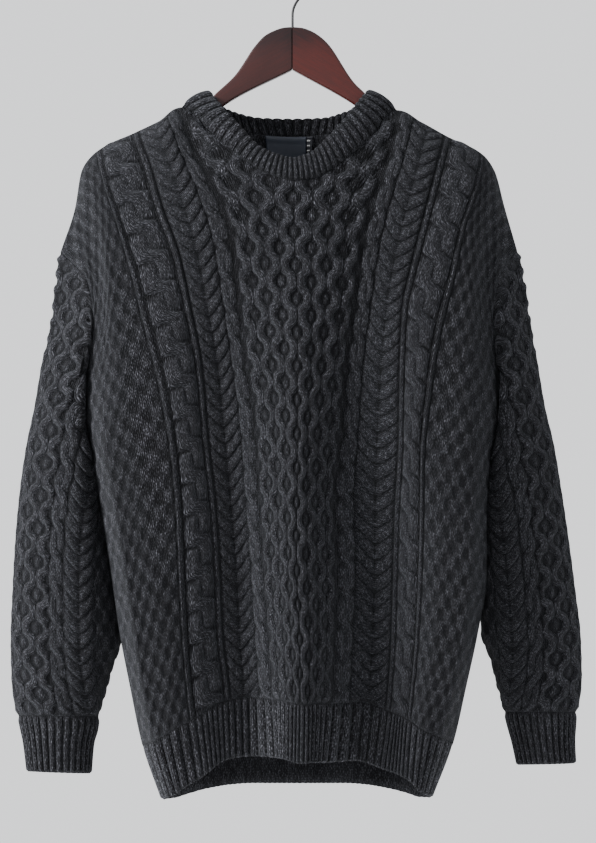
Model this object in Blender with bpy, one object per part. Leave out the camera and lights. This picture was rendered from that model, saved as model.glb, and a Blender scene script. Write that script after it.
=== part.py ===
"""Crewneck cable-knit sweater hanging on a two-piece wooden hanger.

Every cloth piece is a wall through measured levels: the tables hold, in centimetres, where each
pattern line of the knit is seen from the front (x, z) and how far behind the hanger's plane it
lies (y, minus towards the viewer). +Z is up, and the origin is where the hook bears on its rail.
"""
import math

import bpy
import bmesh
import numpy as np

CM = 0.01

# The viewpoint the widths and heights are seen from, in cm
VIEW_DISTANCE = 240.0  # in front of the hanger's front face
VIEW_X = 0.59
VIEW_Z = -48.55

# Wall of the knit, in cm
WALL = 0.25            # plain inside face to the sunk stitches
SINK = 0.16            # sunk stitches to the outline the tables give
SEAM = 0.018           # each side's share of the gap at a seam
SEAM_Y = 0.6           # the plane of the side and shoulder seams
ARMPIT = 0.7           # level where the side seam ends and the armhole begins
RIB_TOP = 0.1          # level where the hem rib ends
RIB_CM = 6.4           # height of the hem rib, in cm
HEM_RIBS = 52          # ribs across the front, and as many across the back
NECK_RIBS = 64
CUFF_RIBS = 30
RIB_HEIGHT = 0.20

# Pattern positions of the columns: 0 centre, 1 edge of the honeycomb, 2 and 3 the twisted ribs
# either side of the outer cable, 4 the side seam
FRONT_PLACES = (4, 3.67, 3.33, 3, 2, 1.5, 1, 0.75, 0.5, 0.25, 0)
BACK_PLACES = (4, 3.67, 3.33, 3, 2, 1.5, 1, 0.5, 0)

# Each row is a level, as a share of the way from the hem's edge to the top, then the columns
FRONT_LEFT_X = (
    #           4   3.67   3.33      3      2    1.5      1    .75     .5    .25      0
    (0.00, -14.2, -13.1, -11.7,  -9.9,  -6.7,  -4.4,  -1.7,  -1.1,  -0.5,   0.1,   0.7),
    (0.10, -16.2, -14.9, -13.0, -10.9,  -7.0,  -4.6,  -2.1,  -1.3,  -0.5,   0.2,   0.8),
    (0.20, -17.5, -16.2, -13.8, -11.6,  -7.8,  -5.1,  -2.6,  -1.7,  -0.8,   0.0,   0.8),
    (0.30, -18.7, -17.1, -14.9, -12.0,  -8.1,  -5.5,  -3.1,  -2.1,  -1.2,  -0.3,   0.5),
    (0.40, -19.6, -18.1, -15.8, -12.3,  -8.6,  -6.1,  -3.5,  -2.4,  -1.4,  -0.5,   0.4),
    (0.50, -20.6, -19.1, -16.8, -12.9,  -9.4,  -6.7,  -3.9,  -2.7,  -1.6,  -0.6,   0.5),
    (0.60, -21.6, -20.3, -18.0, -14.1, -10.0,  -7.5,  -4.9,  -3.1,  -1.9,  -0.7,   0.5),
    (0.70, -22.7, -20.7, -18.9, -15.8, -11.3,  -8.7,  -5.7,  -3.9,  -2.3,  -0.8,   0.5),
    (0.78, -21.9, -20.4, -19.5, -17.2, -12.5,  -9.7,  -6.4,  -4.3,  -2.7,  -1.1,   0.5),
    (0.86, -21.5, -20.8, -20.2, -18.8, -14.4, -11.3,  -8.4,  -5.0,  -3.0,  -1.3,   0.3),
    (0.93, -22.2, -22.1, -21.4, -20.3, -15.7, -13.0, -10.5,  -6.4,  -3.8,  -1.6,   0.1),
    (0.97, -23.6, -23.1, -22.4, -20.8, -16.6, -13.9, -11.4,  -7.1,  -4.4,  -2.0,   0.1),
    (1.00, -25.0, -23.5, -22.7, -21.0, -16.9, -14.4, -11.8,  -7.8,  -4.8,  -2.3,   0.1),
)
FRONT_LEFT_Z = (
    #           4   3.67   3.33      3      2    1.5      1    .75     .5    .25      0
    (0.00, -89.2, -89.0, -88.1, -87.0, -84.9, -84.6, -84.8, -84.9, -85.1, -85.3, -85.4),
    (0.10, -83.4, -82.8, -81.3, -80.0, -77.9, -77.5, -77.6, -78.2, -78.6, -78.9, -79.1),
    (0.20, -77.3, -76.4, -74.5, -73.0, -71.0, -70.4, -70.4, -71.5, -72.1, -72.6, -72.8),
    (0.30, -71.1, -69.9, -67.7, -65.9, -64.0, -63.3, -63.1, -64.7, -65.6, -66.2, -66.5),
    (0.40, -64.9, -63.4, -60.8, -58.9, -57.0, -56.2, -55.9, -57.9, -59.1, -59.9, -60.2),
    (0.50, -58.7, -56.9, -53.9, -51.9, -50.0, -49.1, -48.6, -51.2, -52.7, -53.5, -53.9),
    (0.60, -52.6, -50.4, -47.0, -44.9, -43.0, -42.0, -41.4, -44.4, -46.2, -47.2, -47.6),
    (0.70, -46.5, -43.9, -40.1, -38.1, -36.1, -35.0, -34.2, -37.7, -39.7, -40.9, -41.3),
    (0.78, -42.0, -38.7, -34.6, -32.6, -30.7, -29.4, -28.4, -32.3, -34.5, -35.8, -36.3),
    (0.86, -37.1, -33.5, -29.0, -27.2, -25.4, -24.0, -23.0, -26.9, -29.3, -30.7, -31.3),
    (0.93, -33.2, -29.2, -24.4, -22.6, -20.9, -19.5, -18.7, -22.4, -24.9, -26.3, -26.9),
    (0.97, -31.6, -26.9, -22.3, -20.4, -18.5, -17.1, -16.1, -19.9, -22.4, -23.8, -24.4),
    (1.00, -30.3, -25.8, -21.5, -19.4, -17.4, -16.2, -14.7, -18.2, -20.5, -21.9, -22.5),
)
FRONT_LEFT_Y = (
    #           4   3.67   3.33      3      2    1.5      1    .75     .5    .25      0
    (0.00,   0.6,  -1.8,  -3.6,  -5.4,  -4.8,  -3.6,  -6.5,  -7.9,  -8.7,  -9.1,  -9.2),
    (0.10,   0.6,  -2.7,  -4.9,  -6.1,  -4.8,  -3.6,  -5.8,  -7.2,  -8.2,  -8.7,  -8.9),
    (0.20,   0.6,  -3.4,  -6.2,  -6.7,  -4.9,  -3.6,  -5.4,  -6.6,  -7.6,  -8.2,  -8.5),
    (0.30,   0.6,  -3.7,  -6.7,  -6.7,  -5.0,  -3.6,  -5.1,  -6.2,  -7.2,  -7.9,  -8.2),
    (0.40,   0.6,  -3.7,  -6.3,  -6.2,  -4.8,  -3.6,  -4.8,  -5.9,  -6.8,  -7.5,  -7.8),
    (0.50,   0.6,  -3.5,  -5.7,  -5.6,  -4.6,  -3.8,  -4.5,  -5.5,  -6.3,  -7.0,  -7.3),
    (0.60,   0.6,  -3.2,  -5.1,  -5.3,  -4.6,  -4.0,  -4.4,  -5.2,  -5.9,  -6.5,  -6.7),
    (0.70,   0.6,  -3.1,  -4.6,  -4.9,  -4.6,  -4.3,  -4.5,  -5.0,  -5.5,  -5.9,  -6.3),
    (0.78,  -0.9,  -3.0,  -4.3,  -4.5,  -4.5,  -4.4,  -4.6,  -4.9,  -5.4,  -5.7,  -6.0),
    (0.86,  -1.7,  -2.4,  -3.8,  -4.1,  -4.1,  -4.0,  -4.1,  -4.8,  -5.2,  -5.3,  -5.5),
    (0.93,  -1.5,  -1.7,  -2.8,  -3.0,  -2.7,  -2.8,  -2.3,  -4.2,  -4.8,  -5.0,  -5.2),
    (0.97,  -0.3,  -0.9,  -1.2,  -1.2,  -1.2,  -1.3,  -1.1,  -3.4,  -4.4,  -4.8,  -5.0),
    (1.00,   0.6,   0.6,   0.6,   0.6,   0.6,   0.6,   0.6,  -2.6,  -3.9,  -4.5,  -4.8),
)
FRONT_RIGHT_X = (
    #           4   3.67   3.33      3      2    1.5      1    .75     .5    .25      0
    (0.00,  15.1,  14.1,  13.2,  12.1,   9.4,   6.8,   3.5,   2.7,   2.1,   1.5,   0.7),
    (0.10,  17.3,  15.7,  14.0,  12.6,  10.3,   7.4,   4.1,   3.1,   2.3,   1.6,   0.8),
    (0.20,  18.7,  17.4,  15.2,  13.3,  10.8,   7.8,   4.4,   3.5,   2.5,   1.7,   0.8),
    (0.30,  20.0,  18.6,  16.0,  13.7,  11.0,   8.0,   4.6,   3.5,   2.5,   1.5,   0.5),
    (0.40,  21.0,  19.2,  16.4,  13.9,  11.2,   8.0,   4.3,   3.4,   2.4,   1.4,   0.4),
    (0.50,  21.1,  19.4,  16.8,  14.0,  11.6,   8.2,   5.1,   3.7,   2.5,   1.4,   0.5),
    (0.60,  21.4,  20.1,  17.7,  14.7,  11.7,   8.7,   5.6,   4.2,   2.8,   1.6,   0.5),
    (0.70,  22.7,  20.7,  18.6,  15.8,  12.0,   9.5,   6.6,   4.9,   3.2,   1.9,   0.5),
    (0.78,  22.0,  20.4,  19.1,  17.2,  13.2,  10.4,   7.3,   5.3,   3.5,   2.0,   0.5),
    (0.86,  21.6,  20.7,  19.7,  18.4,  14.6,  11.7,   8.8,   5.6,   3.7,   2.0,   0.3),
    (0.93,  22.2,  21.7,  20.8,  19.9,  15.8,  13.0,  10.3,   6.7,   4.1,   2.0,   0.1),
    (0.97,  23.1,  22.5,  21.6,  20.4,  16.4,  13.6,  10.9,   7.4,   4.5,   2.1,   0.1),
    (1.00,  24.2,  22.9,  21.8,  20.5,  16.6,  13.9,  11.1,   7.8,   4.7,   2.3,   0.1),
)
FRONT_RIGHT_Z = (
    #           4   3.67   3.33      3      2    1.5      1    .75     .5    .25      0
    (0.00, -89.0, -88.6, -87.9, -87.0, -85.9, -85.1, -85.3, -85.3, -85.3, -85.4, -85.4),
    (0.10, -83.3, -82.3, -81.2, -80.1, -79.0, -78.0, -78.1, -78.5, -78.8, -79.1, -79.1),
    (0.20, -77.3, -76.1, -74.5, -73.2, -71.9, -70.9, -70.9, -71.8, -72.4, -72.7, -72.8),
    (0.30, -71.3, -69.7, -67.7, -66.2, -64.9, -63.8, -63.6, -65.1, -65.9, -66.4, -66.5),
    (0.40, -65.3, -63.2, -60.8, -59.3, -57.8, -56.7, -56.4, -58.3, -59.4, -60.1, -60.2),
    (0.50, -59.2, -56.7, -53.9, -52.3, -50.8, -49.6, -49.2, -51.5, -53.0, -53.8, -53.9),
    (0.60, -53.1, -50.2, -47.1, -45.4, -43.7, -42.6, -42.0, -44.8, -46.5, -47.5, -47.6),
    (0.70, -47.1, -43.8, -40.3, -38.5, -36.7, -35.5, -34.8, -38.1, -40.1, -41.2, -41.3),
    (0.78, -42.4, -38.6, -34.8, -33.1, -31.2, -29.9, -29.1, -32.7, -34.9, -36.1, -36.3),
    (0.86, -37.5, -33.4, -29.3, -27.7, -25.8, -24.4, -23.5, -27.3, -29.7, -31.1, -31.3),
    (0.93, -33.3, -29.0, -24.8, -23.2, -21.2, -19.8, -19.0, -22.7, -25.2, -26.6, -26.9),
    (0.97, -31.4, -26.7, -22.6, -20.9, -18.8, -17.4, -16.3, -20.2, -22.7, -24.1, -24.4),
    (1.00, -30.1, -25.6, -21.6, -19.8, -17.8, -16.3, -15.0, -18.4, -20.9, -22.3, -22.5),
)
FRONT_RIGHT_Y = (
    #           4   3.67   3.33      3      2    1.5      1    .75     .5    .25      0
    (0.00,   0.6,  -1.9,  -4.0,  -5.0,  -4.0,  -3.5,  -6.6,  -7.9,  -8.7,  -9.1,  -9.2),
    (0.10,   0.6,  -2.9,  -5.4,  -6.0,  -3.8,  -3.4,  -5.9,  -7.2,  -8.2,  -8.7,  -8.9),
    (0.20,   0.6,  -3.7,  -6.7,  -6.6,  -3.6,  -3.3,  -5.5,  -6.6,  -7.6,  -8.3,  -8.5),
    (0.30,   0.6,  -3.9,  -6.9,  -6.9,  -3.7,  -3.4,  -5.2,  -6.2,  -7.2,  -7.9,  -8.2),
    (0.40,   0.6,  -3.8,  -6.5,  -6.5,  -4.0,  -3.5,  -5.0,  -5.9,  -6.8,  -7.5,  -7.8),
    (0.50,   0.6,  -3.5,  -5.9,  -5.9,  -4.3,  -3.7,  -4.5,  -5.5,  -6.3,  -7.0,  -7.3),
    (0.60,   0.6,  -3.2,  -5.2,  -5.3,  -4.5,  -4.0,  -4.4,  -5.2,  -5.9,  -6.5,  -6.7),
    (0.70,   0.6,  -3.1,  -4.6,  -4.8,  -4.6,  -4.3,  -4.6,  -5.0,  -5.5,  -5.9,  -6.3),
    (0.78,  -0.9,  -3.0,  -4.3,  -4.5,  -4.5,  -4.4,  -4.6,  -4.9,  -5.4,  -5.7,  -6.0),
    (0.86,  -1.7,  -2.4,  -3.8,  -4.2,  -4.1,  -4.1,  -4.1,  -4.8,  -5.2,  -5.4,  -5.5),
    (0.93,  -1.6,  -1.7,  -2.8,  -2.9,  -3.0,  -2.9,  -2.5,  -4.2,  -4.8,  -5.1,  -5.2),
    (0.97,  -0.4,  -0.9,  -1.1,  -1.2,  -1.3,  -1.3,  -1.2,  -3.4,  -4.4,  -4.8,  -5.0),
    (1.00,   0.6,   0.6,   0.6,   0.6,   0.6,   0.6,   0.6,  -2.6,  -3.9,  -4.5,  -4.8),
)
BACK_LEFT_X = (
    #           4   3.67   3.33      3      2    1.5      1    0.5      0
    (0.00, -14.2, -13.0, -11.4,  -9.3,  -6.2,  -4.5,  -2.8,  -1.0,   0.8),
    (0.10, -16.2, -15.0, -13.1, -10.8,  -7.2,  -5.4,  -3.3,  -1.3,   0.7),
    (0.20, -17.5, -16.2, -14.2, -11.7,  -7.9,  -5.9,  -3.7,  -1.5,   0.7),
    (0.30, -18.7, -17.3, -15.2, -12.5,  -8.5,  -6.3,  -4.0,  -1.7,   0.6),
    (0.40, -19.6, -18.2, -15.9, -13.1,  -8.9,  -6.7,  -4.3,  -1.9,   0.5),
    (0.50, -20.6, -19.1, -16.8, -13.8,  -9.4,  -7.1,  -4.6,  -2.1,   0.4),
    (0.60, -21.6, -20.1, -17.7, -14.6, -10.0,  -7.5,  -4.9,  -2.3,   0.4),
    (0.70, -22.7, -21.2, -19.0, -16.1, -11.4,  -8.9,  -6.2,  -2.9,   0.3),
    (0.78, -21.8, -20.3, -18.6, -16.1, -11.9,  -9.5,  -7.0,  -3.3,   0.3),
    (0.86, -21.8, -20.4, -19.1, -16.9, -12.9, -10.6,  -8.2,  -3.9,   0.2),
    (0.93, -23.2, -21.8, -20.7, -18.8, -14.7, -12.3,  -9.8,  -4.6,   0.1),
    (0.97, -24.4, -22.9, -22.0, -20.2, -16.1, -13.5, -11.0,  -5.2,   0.1),
    (1.00, -25.0, -23.5, -22.7, -21.0, -16.9, -14.4, -11.8,  -5.6,   0.1),
)
BACK_LEFT_Z = (
    #           4   3.67   3.33      3      2    1.5      1    0.5      0
    (0.00, -89.2, -89.1, -88.6, -88.0, -87.5, -87.4, -87.4, -87.4, -87.4),
    (0.10, -83.4, -83.1, -82.2, -81.3, -80.5, -80.3, -80.2, -80.4, -80.5),
    (0.20, -77.3, -76.9, -75.7, -74.5, -73.6, -73.2, -72.9, -73.4, -73.5),
    (0.30, -71.1, -70.7, -69.1, -67.8, -66.6, -66.1, -65.7, -66.4, -66.6),
    (0.40, -64.9, -64.4, -62.6, -61.0, -59.6, -59.1, -58.5, -59.4, -59.6),
    (0.50, -58.7, -58.2, -56.1, -54.2, -52.7, -52.0, -51.2, -52.4, -52.7),
    (0.60, -52.6, -52.0, -49.6, -47.5, -45.7, -44.9, -44.0, -45.4, -45.7),
    (0.70, -46.5, -45.8, -43.1, -40.7, -38.7, -37.8, -36.8, -38.4, -38.8),
    (0.78, -42.1, -41.2, -38.0, -35.4, -33.2, -32.1, -31.0, -32.8, -33.2),
    (0.86, -37.2, -36.2, -32.8, -29.9, -27.6, -26.5, -25.2, -27.2, -27.6),
    (0.93, -33.1, -32.0, -28.3, -25.2, -22.7, -21.5, -20.1, -22.3, -22.8),
    (0.97, -31.3, -29.9, -25.8, -22.5, -19.7, -18.5, -17.0, -19.5, -20.0),
    (1.00, -30.3, -25.8, -21.5, -19.4, -17.4, -16.2, -14.7, -17.4, -17.9),
)
BACK_LEFT_Y = (
    #           4   3.67   3.33      3      2    1.5      1    0.5      0
    (0.00,   0.6,   3.6,   5.6,   6.8,   6.6,   6.9,   7.6,   8.0,   7.6),
    (0.10,   0.6,   3.8,   5.9,   7.0,   6.6,   6.9,   7.6,   8.2,   7.7),
    (0.20,   0.6,   4.0,   6.2,   7.2,   6.7,   7.0,   7.7,   8.3,   7.9),
    (0.30,   0.6,   4.2,   6.4,   7.4,   6.8,   7.0,   7.8,   8.4,   8.0),
    (0.40,   0.6,   4.2,   6.3,   7.3,   6.9,   7.0,   7.6,   8.1,   7.8),
    (0.50,   0.6,   4.2,   6.2,   7.2,   6.9,   7.0,   7.4,   7.8,   7.6),
    (0.60,   0.6,   4.1,   5.9,   6.8,   6.8,   6.8,   7.2,   7.4,   7.3),
    (0.70,   0.6,   4.0,   5.6,   6.4,   6.6,   6.7,   6.9,   7.0,   7.0),
    (0.78,   3.3,   4.2,   5.4,   5.9,   6.2,   6.3,   6.5,   6.6,   6.6),
    (0.86,   4.5,   4.9,   5.2,   5.4,   5.6,   5.7,   5.9,   6.0,   6.1),
    (0.93,   3.4,   4.3,   4.2,   4.3,   4.4,   4.4,   4.3,   5.3,   5.6),
    (0.97,   2.2,   2.9,   2.8,   2.9,   3.0,   3.0,   3.0,   4.7,   5.2),
    (1.00,   0.6,   0.6,   0.6,   0.6,   0.6,   0.6,   0.6,   4.1,   4.9),
)
BACK_RIGHT_X = (
    #           4   3.67   3.33      3      2    1.5      1    0.5      0
    (0.00,  15.1,  14.0,  12.4,  10.5,   7.5,   5.9,   4.2,   2.5,   0.8),
    (0.10,  17.3,  15.8,  14.0,  11.8,   8.4,   6.6,   4.6,   2.7,   0.7),
    (0.20,  18.7,  17.1,  15.2,  12.7,   9.0,   7.0,   4.9,   2.8,   0.7),
    (0.30,  20.0,  18.5,  16.4,  13.7,   9.6,   7.5,   5.2,   2.9,   0.6),
    (0.40,  21.0,  19.6,  17.3,  14.4,  10.1,   7.9,   5.4,   3.0,   0.5),
    (0.50,  21.1,  19.7,  17.4,  14.5,  10.2,   7.9,   5.4,   2.9,   0.4),
    (0.60,  21.4,  19.9,  17.6,  14.7,  10.3,   7.9,   5.4,   2.9,   0.4),
    (0.70,  22.7,  21.2,  19.0,  16.3,  11.8,   9.3,   6.6,   3.5,   0.3),
    (0.78,  21.8,  20.4,  18.6,  16.3,  12.1,   9.8,   7.2,   3.7,   0.3),
    (0.86,  21.8,  20.5,  18.9,  17.0,  13.1,  10.7,   8.2,   4.2,   0.2),
    (0.93,  22.9,  21.6,  20.2,  18.6,  14.7,  12.2,   9.5,   4.8,   0.1),
    (0.97,  23.8,  22.4,  21.2,  19.8,  15.9,  13.2,  10.5,   5.3,   0.1),
    (1.00,  24.2,  22.9,  21.8,  20.5,  16.6,  13.9,  11.1,   5.6,   0.1),
)
BACK_RIGHT_Z = (
    #           4   3.67   3.33      3      2    1.5      1    0.5      0
    (0.00, -89.0, -89.0, -88.5, -88.0, -87.5, -87.4, -87.4, -87.4, -87.4),
    (0.10, -83.3, -83.0, -82.1, -81.3, -80.6, -80.3, -80.2, -80.4, -80.5),
    (0.20, -77.3, -76.9, -75.7, -74.6, -73.7, -73.3, -73.0, -73.4, -73.5),
    (0.30, -71.3, -70.8, -69.2, -67.9, -66.7, -66.2, -65.8, -66.4, -66.6),
    (0.40, -65.3, -64.7, -62.8, -61.2, -59.8, -59.1, -58.6, -59.4, -59.6),
    (0.50, -59.2, -58.5, -56.3, -54.5, -52.9, -52.1, -51.4, -52.4, -52.7),
    (0.60, -53.1, -52.3, -49.8, -47.8, -46.0, -45.0, -44.2, -45.4, -45.7),
    (0.70, -47.1, -46.1, -43.3, -41.1, -39.0, -38.0, -37.0, -38.4, -38.8),
    (0.78, -42.6, -41.4, -38.2, -35.8, -33.5, -32.3, -31.2, -32.8, -33.2),
    (0.86, -37.6, -36.4, -33.0, -30.4, -28.0, -26.7, -25.5, -27.2, -27.6),
    (0.93, -33.2, -32.0, -28.4, -25.7, -23.1, -21.7, -20.4, -22.3, -22.8),
    (0.97, -31.1, -29.8, -25.8, -22.8, -20.1, -18.6, -17.3, -19.5, -20.0),
    (1.00, -30.1, -25.6, -21.6, -19.8, -17.8, -16.3, -15.0, -17.4, -17.9),
)
BACK_RIGHT_Y = (
    #           4   3.67   3.33      3      2    1.5      1    0.5      0
    (0.00,   0.6,   3.6,   5.6,   6.8,   6.6,   6.9,   7.6,   8.0,   7.6),
    (0.10,   0.6,   3.8,   5.9,   7.0,   6.6,   6.9,   7.6,   8.2,   7.7),
    (0.20,   0.6,   4.0,   6.2,   7.2,   6.7,   7.0,   7.7,   8.3,   7.9),
    (0.30,   0.6,   4.2,   6.4,   7.4,   6.8,   7.0,   7.8,   8.4,   8.0),
    (0.40,   0.6,   4.2,   6.3,   7.3,   6.9,   7.0,   7.6,   8.1,   7.8),
    (0.50,   0.6,   4.2,   6.2,   7.2,   6.9,   7.0,   7.4,   7.8,   7.6),
    (0.60,   0.6,   4.1,   5.9,   6.8,   6.8,   6.8,   7.2,   7.4,   7.3),
    (0.70,   0.6,   4.0,   5.6,   6.4,   6.6,   6.7,   6.9,   7.0,   7.0),
    (0.78,   3.3,   4.2,   5.4,   5.9,   6.2,   6.3,   6.5,   6.6,   6.6),
    (0.86,   4.5,   4.9,   5.2,   5.4,   5.6,   5.7,   5.9,   6.0,   6.1),
    (0.93,   3.5,   4.3,   4.2,   4.3,   4.4,   4.4,   4.3,   5.3,   5.6),
    (0.97,   2.2,   2.9,   2.8,   2.9,   3.0,   3.0,   3.0,   4.7,   5.2),
    (1.00,   0.6,   0.6,   0.6,   0.6,   0.6,   0.6,   0.6,   4.1,   4.9),
)

# Bands of the cable pattern across the cut cloth from its centre, in cm
BANDS = (
    # from    to    kind        height
    (0.0, 6.4, "honeycomb", 0.34),
    (6.4, 8.5, "rope", 0.30),
    (8.5, 12.3, "chevron", 0.28),
    (12.3, 13.3, "twist", 0.24),
    (13.3, 17.1, "rope", 0.38),
    (17.1, 18.1, "twist", 0.24),
    (18.1, 28.0, "moss", 0.14),
)
FLAT_PLACES = (0.0, 1.0, 2.0, 3.0, 4.0)
FLAT_ACROSS = (0.0, 6.4, 12.8, 17.6, 28.0)   # cut width from the centre to each pattern position
CELL_WIDE = 1.657      # one honeycomb cell to the next, which is half a cell higher
CELL_HIGH = 3.56
ROPE_TURN = 3.38       # one crossing of a rope to the next
CELL_START = 0.6       # turn of the cells at the bottom edge, in radians
ROPE_START = 0.36      # share of a turn at which the ropes cross first, and how much later on the left
ROPE_LATER = 0.1
BACK_RELIEF = (0.3, 0.5, 0.5)   # the back's bands keep one depth: its pits, ropes and chevrons
# The relief fades towards the hem and the shoulder seam to one level, in cm
FADE_LEVELS = (RIB_TOP, RIB_TOP + 0.02, 0.98, 1.0)
FADE_SHARE = (0.0, 1.0, 1.0, 0.2)
RELIEF_LEVEL = 0.1
SIDE_RELIEF = 0.12     # relief along the side seams
# Columns by cut width from the centre, in cm: outside, kept inside, and shared along a seam
FRONT_COLUMNS = (0.0, 0.83, 1.66, 2.49, 3.31, 4.14, 4.97, 5.8, 6.4, 6.85, 7.4, 7.95, 8.5, 9.2, 10.4,
                 11.6, 12.3, 12.8, 13.3, 14.2, 15.2, 16.2, 17.1, 17.6, 18.1, 21.0, 24.5, 26.2, 28.0)
FRONT_INSIDE = (0.0, 1.66, 3.31, 4.97, 6.4, 8.5, 10.4, 12.8, 14.2, 15.2, 17.6, 21.0, 24.5, 26.2,
                28.0)
BACK_COLUMNS = (0.0, 2.2, 5.8, 6.4, 6.8, 8.0, 8.5, 10.4, 12.3, 12.8, 13.3, 15.2, 17.1, 17.6, 18.1,
                21.0, 24.5, 26.2, 28.0)
BACK_INSIDE = (0.0, 2.2, 6.4, 8.5, 10.4, 12.8, 15.2, 17.6, 21.0, 24.5, 26.2, 28.0)
SEAM_COLUMNS = (0.0, 3.31, 6.4, 8.5, 10.4, 12.8, 15.2, 17.6, 21.0, 24.5, 26.2, 28.0)
LOW_ROWS = 11          # rows of the body up to the armpit, and from there to the shoulder
HOLE_ROWS = 11
SLEEVE_ROWS = 15
FINE_ROWS = 3          # rows of the front's relief for each of them

# Sleeves, in cm: share of the length, outer x, z, inner x, z, front y, back y
SLEEVE_LEFT = (
    # share  outer_x  outer_z  inner_x  inner_z  front_y  back_y
    (0.00, -25.0, -30.3, -22.7, -46.5, -1.8, 4.7),
    (0.07, -25.4, -33.8, -22.8, -49.3, -1.9, 6.4),
    (0.15, -25.9, -38.2, -22.2, -51.8, -1.9, 7.2),
    (0.24, -26.8, -42.5, -21.0, -55.4, -1.7, 7.9),
    (0.32, -27.5, -46.8, -20.2, -59.4, -1.6, 8.1),
    (0.41, -28.4, -51.1, -19.6, -62.6, -1.5, 8.2),
    (0.51, -29.1, -55.9, -19.1, -65.6, -1.4, 8.1),
    (0.62, -29.6, -61.3, -18.6, -68.8, -1.3, 7.9),
    (0.73, -29.9, -66.7, -18.4, -72.0, -1.2, 7.6),
    (0.84, -30.1, -72.0, -19.3, -75.1, -1.0, 7.2),
    (0.93, -30.0, -76.4, -19.9, -77.4, -0.8, 6.7),
    (1.00, -29.5, -80.2, -20.8, -80.3, -0.4, 6.1),
)
SLEEVE_RIGHT = (
    (0.00, 24.2, -30.1, 22.7, -47.1, -1.8, 4.7),
    (0.07, 24.9, -33.8, 22.8, -49.8, -1.9, 6.4),
    (0.15, 25.5, -38.2, 22.3, -52.3, -1.9, 7.2),
    (0.24, 26.2, -42.5, 21.3, -55.9, -1.7, 7.9),
    (0.32, 26.9, -46.8, 20.9, -59.4, -1.6, 8.1),
    (0.41, 27.9, -51.1, 20.7, -62.6, -1.5, 8.2),
    (0.51, 28.7, -55.9, 20.5, -65.6, -1.4, 8.1),
    (0.62, 29.5, -61.3, 20.1, -68.4, -1.3, 7.9),
    (0.73, 30.2, -66.7, 20.2, -71.2, -1.2, 7.6),
    (0.84, 30.8, -72.0, 21.2, -74.2, -1.0, 7.2),
    (0.93, 30.9, -76.2, 21.8, -76.6, -0.8, 6.7),
    (1.00, 30.5, -79.8, 22.8, -79.8, -0.4, 6.1),
)
KICK = 0.8             # how far the sleeve stands out just past the lower armhole, in cm
KICK_AT = 0.035        # share of its length at which it stands out most
SLEEVE_START = (0.9, 0.75, 0.85)   # share of the wall kept inside at the armhole's fold
CUFF_LEFT = (
    (0.00, -29.5, -80.2, -20.8, -80.3, -0.4, 6.1),
    (0.25, -29.2, -81.6, -21.0, -81.7, -0.1, 5.8),
    (0.50, -28.9, -83.0, -21.4, -83.1, 0.1, 5.6),
    (1.00, -28.5, -86.2, -21.7, -86.4, 0.3, 5.4),
)
CUFF_RIGHT = (
    (0.00, 30.5, -79.8, 22.8, -79.8, -0.4, 6.1),
    (0.25, 30.4, -81.3, 23.2, -81.4, -0.1, 5.8),
    (0.50, 30.3, -82.8, 23.6, -82.8, 0.1, 5.6),
    (1.00, 30.4, -85.3, 24.2, -85.5, 0.3, 5.4),
)

# Crest of the neckband, in cm, by pattern position along the front and along the back
CREST_FRONT = (
    # place    x      z      y
    (-1.00,  -9.0, -13.0, 0.6),
    (-0.90,  -7.8, -14.4, -1.0),
    (-0.75,  -6.2, -16.2, -2.3),
    (-0.50,  -3.6, -18.9, -3.6),
    (-0.25,  -1.7, -19.8, -4.0),
    (0.00,    0.0, -20.2, -4.1),
    (0.25,    1.8, -19.7, -4.0),
    (0.50,    3.5, -18.3, -3.5),
    (0.75,    5.9, -15.7, -2.3),
    (0.90,    7.3, -13.9, -1.0),
    (1.00,    8.2, -12.9, 0.6),
)
CREST_BACK = (
    (-1.00,  -9.0, -13.0, 0.6),
    (-0.85,  -8.6, -13.7, 2.0),
    (-0.70,  -7.8, -14.6, 3.2),
    (-0.50,  -6.1, -15.4, 4.1),
    (-0.25,  -3.3, -16.0, 4.7),
    (0.00,    0.0, -16.1, 4.9),
    (0.25,    3.2, -16.0, 4.7),
    (0.50,    5.5, -15.4, 4.1),
    (0.70,    7.3, -14.6, 3.2),
    (0.85,    7.9, -13.7, 2.0),
    (1.00,    8.2, -12.9, 0.6),
)
# Section of the doubled neckband: share of its height, half thickness, swell outwards, in cm
NECK_SECTION = (
    (0.00, 0.15, 0.00),
    (0.30, 0.24, 0.16),
    (0.65, 0.26, 0.20),
    (0.90, 0.20, 0.10),
    (1.00, 0.08, 0.00),
)
NECK_GAP = 0.14

# Hanger outline, in cm: x, z from the middle of the top round the right arm and back
ARM_RIGHT = (
    (0.015, -6.18), (0.91, -6.24), (1.9, -6.55), (2.85, -7.1), (3.8, -7.96), (4.46, -8.82),
    (5.0, -9.68), (6.07, -11.4), (6.72, -12.26), (7.7, -13.2), (9.4, -15.2), (11.1, -16.8),
    (13.9, -18.0), (16.6, -19.45), (18.8, -20.6), (19.5, -21.1), (19.8, -21.7), (19.6, -22.2),
    (19.2, -22.4), (16.6, -21.2), (13.9, -19.8), (11.1, -18.1), (9.2, -16.4), (6.8, -14.6),
    (0.015, -10.55),
)
ARM_LEFT = (
    (-0.015, -6.18), (-0.91, -6.24), (-1.9, -6.55), (-2.96, -7.1), (-3.8, -7.96), (-4.46, -8.82),
    (-5.0, -9.68), (-6.18, -11.4), (-7.04, -12.26), (-8.1, -13.2), (-10.2, -15.4), (-11.8, -16.7),
    (-14.4, -17.75), (-16.9, -19.05), (-19.2, -20.2), (-20.0, -20.8), (-20.3, -21.4),
    (-20.1, -22.0), (-19.5, -22.2), (-16.9, -20.9), (-14.4, -19.6), (-11.8, -18.2),
    (-9.4, -16.3), (-7.4, -14.6), (-0.015, -10.55),
)
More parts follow.
